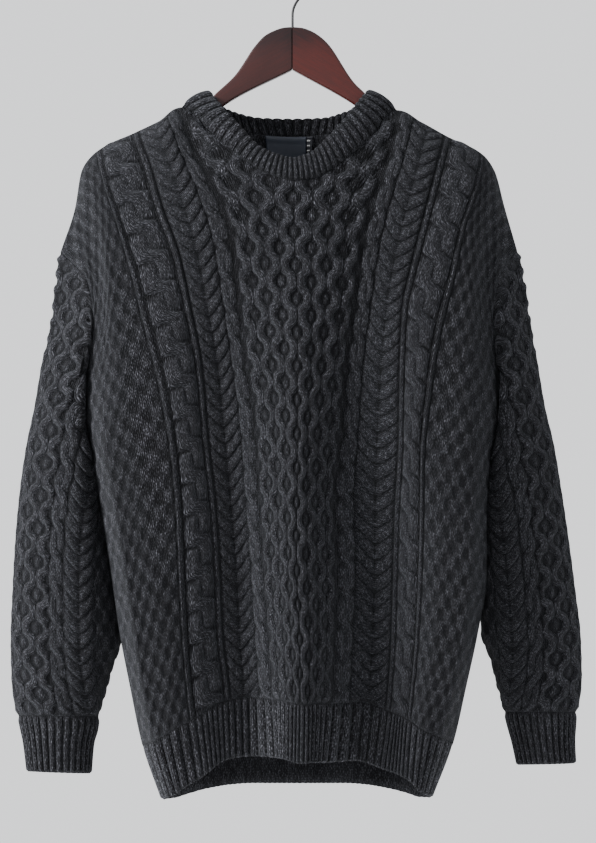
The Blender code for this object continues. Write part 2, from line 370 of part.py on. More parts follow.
ARM_THICK = 1.2        # thickness of the wood
ARM_ROUND = 0.3
HOOK_LINE = (
    (0.0, -6.02), (0.0, -5.5), (0.0, -4.95), (0.03, -4.4), (0.2, -3.8), (0.6, -3.1),
    (1.12, -2.42), (1.58, -1.8), (1.72, -1.15), (1.5, -0.48), (0.85, -0.01), (0.0, 0.13),
    (-0.85, -0.02), (-1.5, -0.52), (-1.8, -1.3), (-1.8, -2.1),
)
HOOK_RADIUS = 0.13

# Label inside the back of the neck, in cm
LABEL_LEFT = -3.06
LABEL_RIGHT = 1.56
LABEL_DROP = 4.0
LABEL_THICK = 0.08
TAG_LEFT = 1.72
TAG_RIGHT = 2.35
TAG_DROP = 1.4
LABEL_OFF = 0.13       # label clear of the cloth behind it

COLOURS = {
    "knit": (0.035, 0.039, 0.046, 1.0),
    "wood": (0.075, 0.018, 0.014, 1.0),
    "wire": (0.03, 0.03, 0.032, 1.0),
    "label": (0.012, 0.020, 0.045, 1.0),
    "tag": (0.75, 0.75, 0.73, 1.0),
}


def slopes(xs, ys):
    """Slopes of the smooth curve through ys at xs that never overshoots them."""
    h = np.diff(xs)[:, None]
    d = np.diff(ys, axis=0) / h
    m = np.zeros_like(ys)
    m[0], m[-1] = d[0], d[-1]
    same = d[:-1] * d[1:] > 0
    w1 = 2 * h[1:] + h[:-1]
    w2 = h[1:] + 2 * h[:-1]
    safe0 = np.where(same, d[:-1], 1.0)
    safe1 = np.where(same, d[1:], 1.0)
    m[1:-1] = np.where(same, (w1 + w2) / (w1 / safe0 + w2 / safe1), 0.0)
    return m


def smooth(xs, ys, at):
    """The smooth curve through the rows of ys at xs, read at each value of at."""
    xs, at = np.asarray(xs, float), np.asarray(at, float)
    ys = np.asarray(ys, float)
    flat = ys.reshape(len(xs), -1)
    m = slopes(xs, flat)
    i = np.clip(np.searchsorted(xs, at, side="right") - 1, 0, len(xs) - 2)
    h = (xs[i + 1] - xs[i])[:, None]
    u = ((at - xs[i])[:, None]) / h
    a = (1 + 2 * u) * (1 - u) ** 2 * flat[i] + u * (1 - u) ** 2 * h * m[i]
    b = u * u * (3 - 2 * u) * flat[i + 1] + u * u * (u - 1) * h * m[i + 1]
    return (a + b).reshape((len(at),) + ys.shape[1:])


def seen(p):
    """World metres for points given as seen x, seen z and depth y in cm; the seams lie in y 0."""
    x, z, y = p[..., 0], p[..., 1], p[..., 2]
    k = (VIEW_DISTANCE + y) / VIEW_DISTANCE
    world = np.stack([VIEW_X + (x - VIEW_X) * k, y - SEAM_Y, VIEW_Z + (z - VIEW_Z) * k], axis=-1)
    return world * CM


def unit(v):
    """Vectors of length one."""
    return v / np.maximum(np.linalg.norm(v, axis=-1, keepdims=True), 1e-12)


def join_sides(places, left, right):
    """One table over the whole width from the left and right ones, which share their middle."""
    left, right = np.array(left)[:, 1:], np.array(right)[:, 1:]
    at = np.concatenate([-np.array(places), np.array(places)[:-1][::-1]])
    return at, np.concatenate([left, right[:, :-1][:, ::-1]], axis=1)


LEVELS = np.array([row[0] for row in FRONT_LEFT_X])
FRONT_AT, FX = join_sides(FRONT_PLACES, FRONT_LEFT_X, FRONT_RIGHT_X)
_, FZ = join_sides(FRONT_PLACES, FRONT_LEFT_Z, FRONT_RIGHT_Z)
_, FY = join_sides(FRONT_PLACES, FRONT_LEFT_Y, FRONT_RIGHT_Y)
BACK_AT, BX = join_sides(BACK_PLACES, BACK_LEFT_X, BACK_RIGHT_X)
_, BZ = join_sides(BACK_PLACES, BACK_LEFT_Z, BACK_RIGHT_Z)
_, BY = join_sides(BACK_PLACES, BACK_LEFT_Y, BACK_RIGHT_Y)


def with_rib(table):
    """The table with its rib level moved in each column to the rib's height above the hem."""
    out = table.copy()
    for c in range(table.shape[1]):
        column = table[:, c]
        length = np.linalg.norm(np.diff(column, axis=0), axis=1).sum()
        own = np.interp(LEVELS, (0, RIB_TOP, ARMPIT, 1), (0, RIB_CM / length, ARMPIT, 1))
        out[:, c] = smooth(LEVELS, column, own)
    return out


FRONT = with_rib(np.stack([FX, FZ, FY], axis=-1))
BACK = with_rib(np.stack([BX, BZ, BY], axis=-1))


def panel(which, at, levels):
    """Points of the front or back by pattern position and level, levels first."""
    table, places = (FRONT, FRONT_AT) if which == "front" else (BACK, BACK_AT)
    rows = smooth(LEVELS, table, levels)
    grid = smooth(places, np.swapaxes(rows, 0, 1), at)
    return seen(np.swapaxes(grid, 0, 1))


def hole_normal(turn, side):
    """The shared facing at the armhole, turn 0 at the shoulder, 0.5 mid-front, 1 the armpit."""
    a = turn * 2 * math.pi
    up = np.cos(a)
    out = 0.28 + 0.65 * np.maximum(up, 0)
    return unit(np.stack([side * out, -0.95 * np.sin(a), np.where(up > 0, 0.3, 0.95) * up], axis=-1))


def surface_normals(points, wrap=False):
    """Facing of each grid point from its neighbours."""
    du = np.gradient(points, axis=0)
    if wrap:
        dv = np.roll(points, -1, axis=1) - np.roll(points, 1, axis=1)
    else:
        dv = np.gradient(points, axis=1)
    return unit(np.cross(dv, du))


def panel_normals(which, at, levels):
    """Facings of the front or back, agreed with the neighbour at every seam."""
    at, levels = np.asarray(at, float), np.asarray(levels, float)
    points = panel(which, at, levels)
    e = 0.004
    up = panel(which, at, np.minimum(levels + e, 1)) - panel(which, at, np.maximum(levels - e, 0))
    across = (panel(which, np.minimum(at + e, 4), levels)
              - panel(which, np.maximum(at - e, -4), levels))
    n = unit(np.cross(across, up))
    if which == "back":
        n = -n
    for side, column in ((-1, 0), (1, len(at) - 1)):
        if abs(abs(at[column]) - 4) > 1e-6:
            continue
        n[:, column] = (side, 0, 0)
        hole = levels > ARMPIT - 1e-6
        turn = 0.5 * (1 - (levels[hole] - ARMPIT) / (1 - ARMPIT))
        n[hole, column] = hole_normal(turn if which == "front" else -turn, side)
    if abs(levels[-1] - 1) < 1e-6:
        along = np.gradient(points[-1], axis=0)
        up = unit(np.stack([-along[:, 2], 0 * along[:, 0], along[:, 0]], axis=-1))
        shoulder = (np.abs(at) >= 1 - 1e-6) & (np.abs(at) < 4 - 1e-6)
        n[-1, shoulder] = up[shoulder]
        near = (np.abs(at) > 0.7) & (np.abs(at) < 1 - 1e-6)
        n[-1, near] = unit(n[-1, near] + up[near])
    return points, n


def pulled_back(points, ends):
    """Move the named border rows or columns back from their seam by its share of the gap."""
    p = points.copy()
    for axis, index, by in ends:
        line = [slice(None)] * 3
        step = [slice(None)] * 3
        line[axis] = index
        step[axis] = 1 if index == 0 else -2
        to = unit(points[tuple(step)] - points[tuple(line)])
        p[tuple(line)] = points[tuple(line)] + to * by * CM
    return p


def shell(name, outer, inner, colour, wrap=False, rows=None, columns=None):
    """A closed wall between an outer grid and an inner one, which may keep only some rows or columns."""
    tall, wide = outer.shape[:2]
    rows = list(range(tall)) if rows is None else list(rows)
    columns = list(range(0, wide, wide // inner.shape[1])) if columns is None else list(columns)
    bm = bmesh.new()
    o = [[bm.verts.new(p) for p in row] for row in outer]
    i = [[bm.verts.new(p) for p in row] for row in inner]
    few = len(columns)
    for r in range(tall - 1):
        for c in range(wide if wrap else wide - 1):
            d = (c + 1) % wide
            bm.faces.new((o[r][c], o[r][d], o[r + 1][d], o[r + 1][c]))
    for r in range(len(rows) - 1):
        for c in range(few if wrap else few - 1):
            d = (c + 1) % few
            bm.faces.new((i[r][d], i[r][c], i[r + 1][c], i[r + 1][d]))
    stops = columns + ([wide] if wrap else [])
    for r, e in ((0, 0), (tall - 1, len(rows) - 1)):
        for c in range(len(stops) - 1):
            run = [o[r][k % wide] for k in range(stops[c], stops[c + 1] + 1)]
            fan(bm, run, i[e][c], i[e][(c + 1) % few])
    if not wrap:
        for c, e in ((0, 0), (wide - 1, few - 1)):
            for r in range(len(rows) - 1):
                run = [o[k][c] for k in range(rows[r], rows[r + 1] + 1)]
                fan(bm, run, i[r][e], i[r + 1][e])
    bmesh.ops.recalc_face_normals(bm, faces=bm.faces[:])
    return finish(bm, name, colour)


def fan(bm, run, near, far):
    """Faces from a run of outer points to the two inner points behind its ends."""
    middle = (len(run) - 1) // 2
    for k in range(len(run) - 1):
        bm.faces.new((run[k], run[k + 1], near if k < middle else far))
    bm.faces.new((run[middle], far, near))


def finish(bm, name, colour):
    """Object and material for a mesh that is complete."""
    if bm.calc_volume(signed=True) < 0:
        bmesh.ops.reverse_faces(bm, faces=bm.faces[:])
    mesh = bpy.data.meshes.new(name)
    bm.to_mesh(mesh)
    bm.free()
    ob = bpy.data.objects.new(name, mesh)
    SWEATER.objects.link(ob)
    paint(ob, colour)
    return ob


def paint(ob, colour):
    """Give the object a plain material of its own."""
    mat = bpy.data.materials.new(ob.name)
    mat.use_nodes = True
    bsdf = mat.node_tree.nodes["Principled BSDF"]
    bsdf.inputs["Base Color"].default_value = COLOURS[colour]
    bsdf.inputs["Roughness"].default_value = 0.35 if colour in ("wood", "wire") else 0.9
    bsdf.inputs["Metallic"].default_value = 1.0 if colour == "wire" else 0.0
    ob.data.materials.append(mat)


def wall(name, points, normals, relief, wrap=False, rows=None, columns=None, start=(1.0,)):
    """A knitted wall: relief above the sunk stitches outside, plain inside."""
    rows = range(len(points)) if rows is None else rows
    columns = range(points.shape[1]) if columns is None else columns
    outer = points + normals * ((relief - SINK) * CM)[..., None]
    thin = np.ones((len(points), 1, 1))
    thin[:len(start), 0, 0] = start
    inner = (points - normals * (WALL + SINK) * CM * thin)[np.ix_(rows, columns)]
    return shell(name, outer, inner, "knit", wrap, rows, columns)


def both_ways(columns):
    """Places from the left side to the right one."""
    return np.concatenate([-np.array(columns)[::-1], np.array(columns)[1:]])


def body_rows(fine=1):
    """Levels of the body's rows, with the armhole's own rows above the armpit."""
    low = np.linspace(RIB_TOP, ARMPIT, (LOW_ROWS - 1) * fine + 1)
    high = np.linspace(ARMPIT, 1, (HOLE_ROWS - 1) * fine + 1)
    return np.concatenate([low, high[1:]])


def cables(across, pit, apart, beat):
    """Height of the pattern above the sunk stitches by cut distance from the centre.

    pit is 1 in a honeycomb cell, apart is 1 where a rope's strands lie side by side, and beat is 1
    on a chevron's lobe.
    """
    x = np.abs(across)
    height = np.zeros(x.shape)
    for low, high, kind, raised in BANDS:
        a = np.clip(np.abs(2 * x - low - high) / (high - low), 0, 1)
        if kind == "honeycomb":
            h = 1 - 0.85 * np.maximum(pit, 0)
        elif kind == "rope":
            groove = 0.7 * apart * np.exp(-(a / 0.25) ** 2)
            h = np.sqrt(1 - a * a) * (1 - groove - 0.5 * (1 - apart) * a)
        elif kind == "chevron":
            h = np.sqrt(1 - a ** 4) * (0.5 + 0.5 * np.where(a > 0.3, 1 - beat, beat))
        elif kind == "twist":
            h = 1 - a
        else:
            h = 1
        height = np.where((x >= low - 1e-6) & (x < high + 1e-6), raised * h, height)
    return height


def positions(across):
    """Pattern positions of places given by cut width."""
    return np.sign(across) * np.interp(np.abs(across), FLAT_ACROSS, FLAT_PLACES)


def seam_row(which, at, level, own):
    """Points and facings along a seam, straight between its shared columns; own inside the neck."""
    shared = positions(both_ways(SEAM_COLUMNS))
    rows = panel_normals(which, shared, np.array([level]))
    outside = (np.abs(at) >= 1 - 1e-6) | (level < 1)
    made = []
    for grid, free in zip(rows, own):
        line = np.stack([np.interp(at, shared, grid[0][:, k]) for k in range(3)], axis=-1)
        made.append(np.where(outside[:, None], line, free))
    return made


def body_panel(which, columns, inside, fine, inside_step):
    """A body panel in the cable pattern, its sides and shoulders on the seams' shared points.

    fine is the outer rows to each shared row, inside_step the shared rows to each inside row
    below the armpit.
    """
    across = both_ways(columns)
    at = positions(across)
    levels = body_rows(fine)
    points, normals = panel_normals(which, at, levels)
    points[0], normals[0] = seam_row(which, at, RIB_TOP, (points[0], normals[0]))
    points[-1], normals[-1] = seam_row(which, at, 1.0, (points[-1], normals[-1]))
    shared = np.arange(0, len(levels), fine)
    for c in (0, -1):
        for grid in (points, normals):
            for k in range(3):
                grid[:, c, k] = np.interp(np.arange(len(levels)), shared, grid[shared, c, k])
    across = np.repeat(across[None], len(levels), axis=0)
    if which == "front":
        t = np.concatenate([[0 * at], np.cumsum(np.linalg.norm(np.diff(points, axis=0), axis=2), axis=0)])
        t = t / CM
        pit = np.cos(math.pi * across / CELL_WIDE) * np.cos(2 * math.pi * t / CELL_HIGH + CELL_START)
        turned = t / ROPE_TURN - ROPE_START - ROPE_LATER * (across < 0)
        apart = np.cos(math.pi * turned) ** 2
        beat = np.repeat((np.arange(len(levels)) % 2)[:, None], len(at), axis=1)
    else:
        pit, apart, beat = BACK_RELIEF
    relief = cables(across, pit, apart, beat)
    fade = np.interp(levels, FADE_LEVELS, FADE_SHARE)
    relief = RELIEF_LEVEL + (relief - RELIEF_LEVEL) * fade[:, None]
    relief[:, 0] = relief[:, -1] = SIDE_RELIEF
    points = pulled_back(points, ((1, 0, SEAM), (1, -1, SEAM), (0, 0, SEAM), (0, -1, SEAM)))
    inside = np.searchsorted(across[0], both_ways(inside) - 1e-6)
    rows = np.concatenate([shared[:LOW_ROWS - 2:inside_step], shared[LOW_ROWS - 2:]])
    wall(which, points, normals, relief, rows=rows, columns=inside)


def build_hem(which):
    """Ribbed hem of the front or back."""
    at = np.linspace(-4, 4, HEM_RIBS * 2 + 1)
    rows = np.array([0.0, RIB_TOP])
    points, normals = panel_normals(which, at, rows)
    points[-1], normals[-1] = seam_row(which, at, RIB_TOP, (points[-1], normals[-1]))
    relief = np.where(np.arange(len(at)) % 2 == 0, 0.02, RIB_HEIGHT)
    relief = np.repeat(relief[None, :], len(rows), axis=0)
    relief[-1] = 0.10 + 0.5 * (relief[-1] - 0.10)
    relief[:, 0] = relief[:, -1] = 0.12
    points = pulled_back(points, ((1, 0, SEAM), (1, -1, SEAM), (0, -1, 0.07)))
    wall("hem_rib_" + which, points, normals, relief, columns=range(0, len(at), 2))


def ring(table, share, turn, flat=False):
    """Points of a tube by share of its length and turn, 0 at its outer line, 0.5 the inner."""
    table = np.array(table)
    row = smooth(table[:, 0], table[:, 1:], share)
    a = turn[None, :] * 2 * math.pi
    ox, oz, ix, iz, fy, by = (row[:, k][:, None] for k in range(6))
    c = 0.5 * (1 + np.cos(a))
    x = ix + (ox - ix) * c
    z = iz + (oz - iz) * c
    y = 0.5 * (fy + by) - 0.5 * (by - fy) * np.sin(a)
    if not flat:
        keep = np.exp(-(share[:, None] / 0.02) ** 2)
        y = y + (SEAM_Y - 0.5 * (fy + by)) * keep * np.abs(np.cos(a)) ** 3
    return seen(np.stack([x, z, y], axis=-1))


def armhole(side, turn):
    """The armhole's line on the body at each turn, front then back."""
    low = np.minimum(turn, 1 - turn)
    level = 1 - 2 * low * (1 - ARMPIT)
    out = np.zeros((len(turn), 3))
    for i, (t, w) in enumerate(zip(turn, level)):
        which = "front" if t <= 0.5 else "back"
        out[i] = panel(which, [side * 4.0], [w])[0, 0]
    return out


def build_sleeve(name, table, side):
    """Set-on sleeve from the dropped armhole to the cuff."""
    turn = np.arange(2 * (HOLE_ROWS - 1)) / (2 * (HOLE_ROWS - 1))
    share = np.linspace(0, 1, SLEEVE_ROWS) ** 1.21
    points = ring(table, share, turn)
    start = armhole(side, turn)
    own = np.clip(share / 0.3, 0, 1)
    own = (own * own * (3 - 2 * own))[:, None, None]
    points = start[None] + (points - points[:1]) * (1 - own) + (points - start[None]) * own
    quick = (share / KICK_AT * np.exp(1 - share / KICK_AT))[:, None] * CM
    ahead = np.exp(-((turn - 0.42) / 0.08) ** 2)[None]
    behind = np.exp(-((turn - 0.57) / 0.08) ** 2)[None]
    points[:, :, 0] += side * quick * KICK * (ahead + 0.9 * behind)
    points[:, :, 1] += quick * KICK * 0.2 * behind
    normals = surface_normals(points, wrap=True) * side
    normals[0] = hole_normal(turn, side)
    normals[1] = unit(2 * normals[1] + normals[0] + np.roll(normals[1], 1, 0) + np.roll(normals[1], -1, 0))
    normals[-1] = level_facing(normals[-1])
    relief = np.full(points.shape[:2], 0.16)
    points = pulled_back(points, ((0, 0, SEAM * 3), (0, -1, SEAM)))
    wall(name, points, normals, relief, wrap=True, start=SLEEVE_START)


def level_facing(normals):
    """The same facings with no rise, so two tubes meet on one level."""
    return unit(normals * np.array([1.0, 1.0, 0.0]))


def build_cuff(name, table, side):
    """Ribbed cuff."""
    count = CUFF_RIBS * 2
    turn = np.arange(count) / count
    share = np.array([0.0, 0.4, 1.0])
    points = ring(table, share, turn, flat=True)
    normals = surface_normals(points, wrap=True) * side
    normals[0] = level_facing(normals[0])
    relief = np.where(np.arange(count) % 2 == 0, 0.02, RIB_HEIGHT)
    relief = np.repeat(relief[None, :], len(share), axis=0)
    points = pulled_back(points, ((0, 0, SEAM * 2.5),))
    wall(name, points, normals, relief, wrap=True, columns=range(0, count, 2))


def neck_loop(count):
    """Seam line, crest line and facing of the neckband, round from the left by the front."""
    half = count // 2
    q_front = -np.cos(np.linspace(0, math.pi, half + 1)) * 0.35 + np.linspace(-1, 1, half + 1) * 0.65
    q_back = q_front[::-1][1:-1]
    seam, facing, crest = [], [], []
    for which, q, table in (("front", q_front, CREST_FRONT), ("back", q_back, CREST_BACK)):
        points, normals = panel_normals(which, q, np.array([0.99, 1.0]))
        seam.append(points[-1])
        facing.append(normals[-1])
        table = np.array(table)
        crest.append(seen(smooth(table[:, 0], table[:, 1:], q)))
    return [np.concatenate(part) for part in (seam, crest, facing)]


def build_neckband():
    """Doubled crew neckband, ribbed on the outside."""
    count = NECK_RIBS * 2
    seam, crest, facing = neck_loop(count)
    section = np.array(NECK_SECTION)
    up = crest - seam
    share = section[:, 0][:, None, None]
    points = seam[None] + up[None] * share
    along = np.roll(seam + crest, -1, axis=0) - np.roll(seam + crest, 1, axis=0)
    out = unit(np.cross(along, up))
    centre = seam.mean(axis=0)
    out = out * np.sign(np.sum(out * (seam - centre), axis=1, keepdims=True))
    for _ in range(4):
        out = unit(out + np.roll(out, 1, axis=0) + np.roll(out, -1, axis=0))
        facing = unit(facing + np.roll(facing, 1, axis=0) + np.roll(facing, -1, axis=0))
    normals = np.repeat(out[None], len(section), axis=0)
    normals[0] = unit(out + facing)
    points = points + normals * (section[:, 2] * CM)[:, None, None]
    points[0] = points[0] + unit(up) * NECK_GAP * CM
    ribs = np.where(np.arange(count) % 2 == 0, -0.06, 0.06)
    fade = np.array([0.4, 1.0, 1.0, 1.0, 0.5])
    outer = points + normals * ((section[:, 1][:, None] + ribs[None] * fade[:, None]) * CM)[..., None]
    inner = (points - normals * (section[:, 1] * CM)[:, None, None])[::2, ::2]
    rows, columns = range(0, len(section), 2), range(0, count, 2)
    shell("neckband", outer, inner, "knit", wrap=True, rows=rows, columns=columns)


def build_label(name, left, right, drop, colour, rows):
    """A flat label on the inside of the back of the neck, from the back's own points."""
    at = np.linspace(left, right, 4) / 11.8
    levels = np.linspace(0.995, 0.995 - drop / 69.5, rows)
    points, normals = panel_normals("back", at, levels[::-1])
    face = points - normals * (WALL + SINK + LABEL_OFF) * CM
    shell(name, face, face - normals * LABEL_THICK * CM, colour)


def build_arm(name, outline):
    """One half of the hanger: its outline given a thickness and rounded edges."""
    world = [seen(np.array([x, z, SEAM_Y])) for x, z in outline]
    bm = bmesh.new()
    loop = [bm.verts.new((p[0], -0.5 * ARM_THICK * CM, p[2])) for p in world]
    face = bm.faces.new(loop)
    made = bmesh.ops.extrude_face_region(bm, geom=[face])
    moved = [g for g in made["geom"] if isinstance(g, bmesh.types.BMVert)]
    bmesh.ops.translate(bm, verts=moved, vec=(0, ARM_THICK * CM, 0))
    bmesh.ops.recalc_face_normals(bm, faces=bm.faces[:])
    edges = []
    for e in bm.edges:
        same_side = abs(e.verts[0].co.y - e.verts[1].co.y) < 1e-6
        middle = abs(e.verts[0].co.x) < 4e-4 and abs(e.verts[1].co.x) < 4e-4
        if same_side and not middle:
            edges.append(e)
    bmesh.ops.bevel(bm, geom=edges, offset=ARM_ROUND * CM, segments=2, profile=0.5,
                    affect="EDGES", clamp_overlap=True)
    bmesh.ops.triangulate(bm, faces=bm.faces[:])
    return finish(bm, name, "wood")


def build_hook():
    """Wire hook that turns over the rail, its stem set on the hanger's top."""
    curve = bpy.data.curves.new("hanger_hook", "CURVE")
    curve.dimensions = "3D"
    curve.bevel_depth = HOOK_RADIUS * CM
    curve.bevel_resolution = 2
    curve.use_fill_caps = True
    line = np.array(HOOK_LINE)
    steps = np.concatenate([[0], np.cumsum(np.hypot(*np.diff(line, axis=0).T))])
    fine = smooth(steps, line, np.linspace(0, steps[-1], 24))
    spline = curve.splines.new("POLY")
    spline.points.add(len(fine) - 1)
    for point, (x, z) in zip(spline.points, fine):
        point.co = (x * CM, 0.0, z * CM, 1.0)
    ob = bpy.data.objects.new("hanger_hook", curve)
    SWEATER.objects.link(ob)
    paint(ob, "wire")


for old in list(bpy.data.objects):
    bpy.data.objects.remove(old, do_unlink=True)
SWEATER = bpy.data.collections.new("Crewneck sweater")
bpy.context.scene.collection.children.link(SWEATER)

body_panel("front", FRONT_COLUMNS, FRONT_INSIDE, FINE_ROWS, 1)
body_panel("back", BACK_COLUMNS, BACK_INSIDE, 1, 2)
build_hem("front")
build_hem("back")
build_sleeve("sleeve_left", SLEEVE_LEFT, -1)
build_sleeve("sleeve_right", SLEEVE_RIGHT, 1)
build_cuff("cuff_left", CUFF_LEFT, -1)
build_cuff("cuff_right", CUFF_RIGHT, 1)
build_neckband()
build_label("label", LABEL_LEFT, LABEL_RIGHT, LABEL_DROP, "label", 4)
build_label("size_tag", TAG_LEFT, TAG_RIGHT, TAG_DROP, "tag", 3)
build_arm("hanger_left", ARM_LEFT)
build_arm("hanger_right", ARM_RIGHT)
build_hook()
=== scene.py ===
"""Looks of a cable-knit crewneck sweater on its hanger.

The cloth is knitted again over the shapes of the frame's solids, with its rows close enough together
for every cell of the honeycomb, crossing of the ropes and rib of the cuffs. The two folds low at the
front's sides are fuller here than in the solids. Tables are in centimetres as seen from the front
(x, z) with the depth y, minus towards the viewer.
"""

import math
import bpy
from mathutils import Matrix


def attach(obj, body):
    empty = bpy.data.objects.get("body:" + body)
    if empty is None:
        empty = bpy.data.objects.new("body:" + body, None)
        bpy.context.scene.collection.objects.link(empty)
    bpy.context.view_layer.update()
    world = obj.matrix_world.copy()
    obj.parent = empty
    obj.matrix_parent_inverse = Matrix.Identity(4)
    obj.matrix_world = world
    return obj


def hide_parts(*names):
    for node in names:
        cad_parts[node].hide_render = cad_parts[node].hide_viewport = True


bl_info = {
    "name": "Cable-Knit Sweater",
    "version": (1, 0, 0),
    "blender": (4, 5, 0),
    "location": "3D View > Sidebar > Sweater",
    "description": "Knits a crewneck sweater in marled wool and finishes its wooden hanger",
    "category": "Mesh",
}

import bpy
import numpy as np
from bpy.props import FloatProperty, FloatVectorProperty, PointerProperty
from bpy.types import Operator, Panel, PropertyGroup
from mathutils import Vector

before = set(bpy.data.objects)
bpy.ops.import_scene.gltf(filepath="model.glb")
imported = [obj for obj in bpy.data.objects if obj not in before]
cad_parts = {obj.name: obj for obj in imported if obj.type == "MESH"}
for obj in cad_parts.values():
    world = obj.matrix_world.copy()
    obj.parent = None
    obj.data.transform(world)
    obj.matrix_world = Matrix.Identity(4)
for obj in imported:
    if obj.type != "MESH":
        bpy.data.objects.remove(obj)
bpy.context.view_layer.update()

CM = 0.01

# The viewpoint the widths and heights are seen from, in cm
VIEW_DISTANCE = 240.0
VIEW_X = 0.59
VIEW_Z = -48.55

# Wall of the knit, in cm
WALL = 0.25            # plain inside face to the sunk stitches
SINK = 0.16            # sunk stitches to the outline the tables give
SEAM_Y = 0.6           # the plane of the side and shoulder seams
ARMPIT = 0.7           # level where the side seam ends and the armhole begins
RIB_TOP = 0.1          # level where the hem rib ends
RIB_CM = 6.4           # height of the hem rib, in cm
SIDE_TURN = 0.22       # pattern width over which the wall turns to meet its side seam
TOP_TURN = 0.016       # share of the height over which it turns to the shoulder seam
HEM_RIBS = 52          # ribs across the front, and as many across the back
NECK_RIBS = (36, 30)   # in front and behind
CUFF_RIBS = 30         # round each cuff
NEARBY = 0.004         # step in place and level for reading the way a panel faces
TOP_LEVEL = 0.97       # levels above it belong to a shoulder
NECK_PLACE = 0.7       # place from which the neck's edge gives way to the shoulder, at 1

# Pattern positions of the columns: 0 centre, 1 edge of the honeycomb, 2 and 3 the twisted ribs
# either side of the outer cable, 4 the side seam
FRONT_PLACES = (4, 3.67, 3.33, 3, 2, 1.5, 1, 0.75, 0.5, 0.25, 0)
BACK_PLACES = (4, 3.67, 3.33, 3, 2, 1.5, 1, 0.5, 0)

# Each row is a level, as a share of the way from the hem's edge to the top, then the columns
FRONT_LEFT_X = (
    #           4   3.67   3.33      3      2    1.5      1    .75     .5    .25      0
    (0.00, -14.2, -13.1, -11.7,  -9.9,  -6.7,  -4.4,  -1.7,  -1.1,  -0.5,   0.1,   0.7),
    (0.10, -16.2, -14.9, -13.0, -10.9,  -7.0,  -4.6,  -2.1,  -1.3,  -0.5,   0.2,   0.8),
    (0.20, -17.5, -16.2, -13.8, -11.6,  -7.8,  -5.1,  -2.6,  -1.7,  -0.8,   0.0,   0.8),
    (0.30, -18.7, -17.1, -14.9, -12.0,  -8.1,  -5.5,  -3.1,  -2.1,  -1.2,  -0.3,   0.5),
    (0.40, -19.6, -18.1, -15.8, -12.3,  -8.6,  -6.1,  -3.5,  -2.4,  -1.4,  -0.5,   0.4),
    (0.50, -20.6, -19.1, -16.8, -12.9,  -9.4,  -6.7,  -3.9,  -2.7,  -1.6,  -0.6,   0.5),
    (0.60, -21.6, -20.3, -18.0, -14.1, -10.0,  -7.5,  -4.9,  -3.1,  -1.9,  -0.7,   0.5),
    (0.70, -22.7, -20.7, -18.9, -15.8, -11.3,  -8.7,  -5.7,  -3.9,  -2.3,  -0.8,   0.5),
    (0.78, -21.9, -20.4, -19.5, -17.2, -12.5,  -9.7,  -6.4,  -4.3,  -2.7,  -1.1,   0.5),
    (0.86, -21.5, -20.8, -20.2, -18.8, -14.4, -11.3,  -8.4,  -5.0,  -3.0,  -1.3,   0.3),
    (0.93, -22.2, -22.1, -21.4, -20.3, -15.7, -13.0, -10.5,  -6.4,  -3.8,  -1.6,   0.1),
    (0.97, -23.6, -23.1, -22.4, -20.8, -16.6, -13.9, -11.4,  -7.1,  -4.4,  -2.0,   0.1),
    (1.00, -25.0, -23.5, -22.7, -21.0, -16.9, -14.4, -11.8,  -7.8,  -4.8,  -2.3,   0.1),
)
FRONT_LEFT_Z = (
    #           4   3.67   3.33      3      2    1.5      1    .75     .5    .25      0
    (0.00, -89.2, -89.0, -88.1, -87.0, -84.9, -84.6, -84.8, -84.9, -85.1, -85.3, -85.4),
    (0.10, -83.4, -82.8, -81.3, -80.0, -77.9, -77.5, -77.6, -78.2, -78.6, -78.9, -79.1),
    (0.20, -77.3, -76.4, -74.5, -73.0, -71.0, -70.4, -70.4, -71.5, -72.1, -72.6, -72.8),
    (0.30, -71.1, -69.9, -67.7, -65.9, -64.0, -63.3, -63.1, -64.7, -65.6, -66.2, -66.5),
    (0.40, -64.9, -63.4, -60.8, -58.9, -57.0, -56.2, -55.9, -57.9, -59.1, -59.9, -60.2),
    (0.50, -58.7, -56.9, -53.9, -51.9, -50.0, -49.1, -48.6, -51.2, -52.7, -53.5, -53.9),
    (0.60, -52.6, -50.4, -47.0, -44.9, -43.0, -42.0, -41.4, -44.4, -46.2, -47.2, -47.6),
    (0.70, -46.5, -43.9, -40.1, -38.1, -36.1, -35.0, -34.2, -37.7, -39.7, -40.9, -41.3),
    (0.78, -42.0, -38.7, -34.6, -32.6, -30.7, -29.4, -28.4, -32.3, -34.5, -35.8, -36.3),
    (0.86, -37.1, -33.5, -29.0, -27.2, -25.4, -24.0, -23.0, -26.9, -29.3, -30.7, -31.3),
    (0.93, -33.2, -29.2, -24.4, -22.6, -20.9, -19.5, -18.7, -22.4, -24.9, -26.3, -26.9),
    (0.97, -31.6, -26.9, -22.3, -20.4, -18.5, -17.1, -16.1, -19.9, -22.4, -23.8, -24.4),
    (1.00, -30.3, -25.8, -21.5, -19.4, -17.4, -16.2, -14.7, -18.2, -20.5, -21.9, -22.5),
)
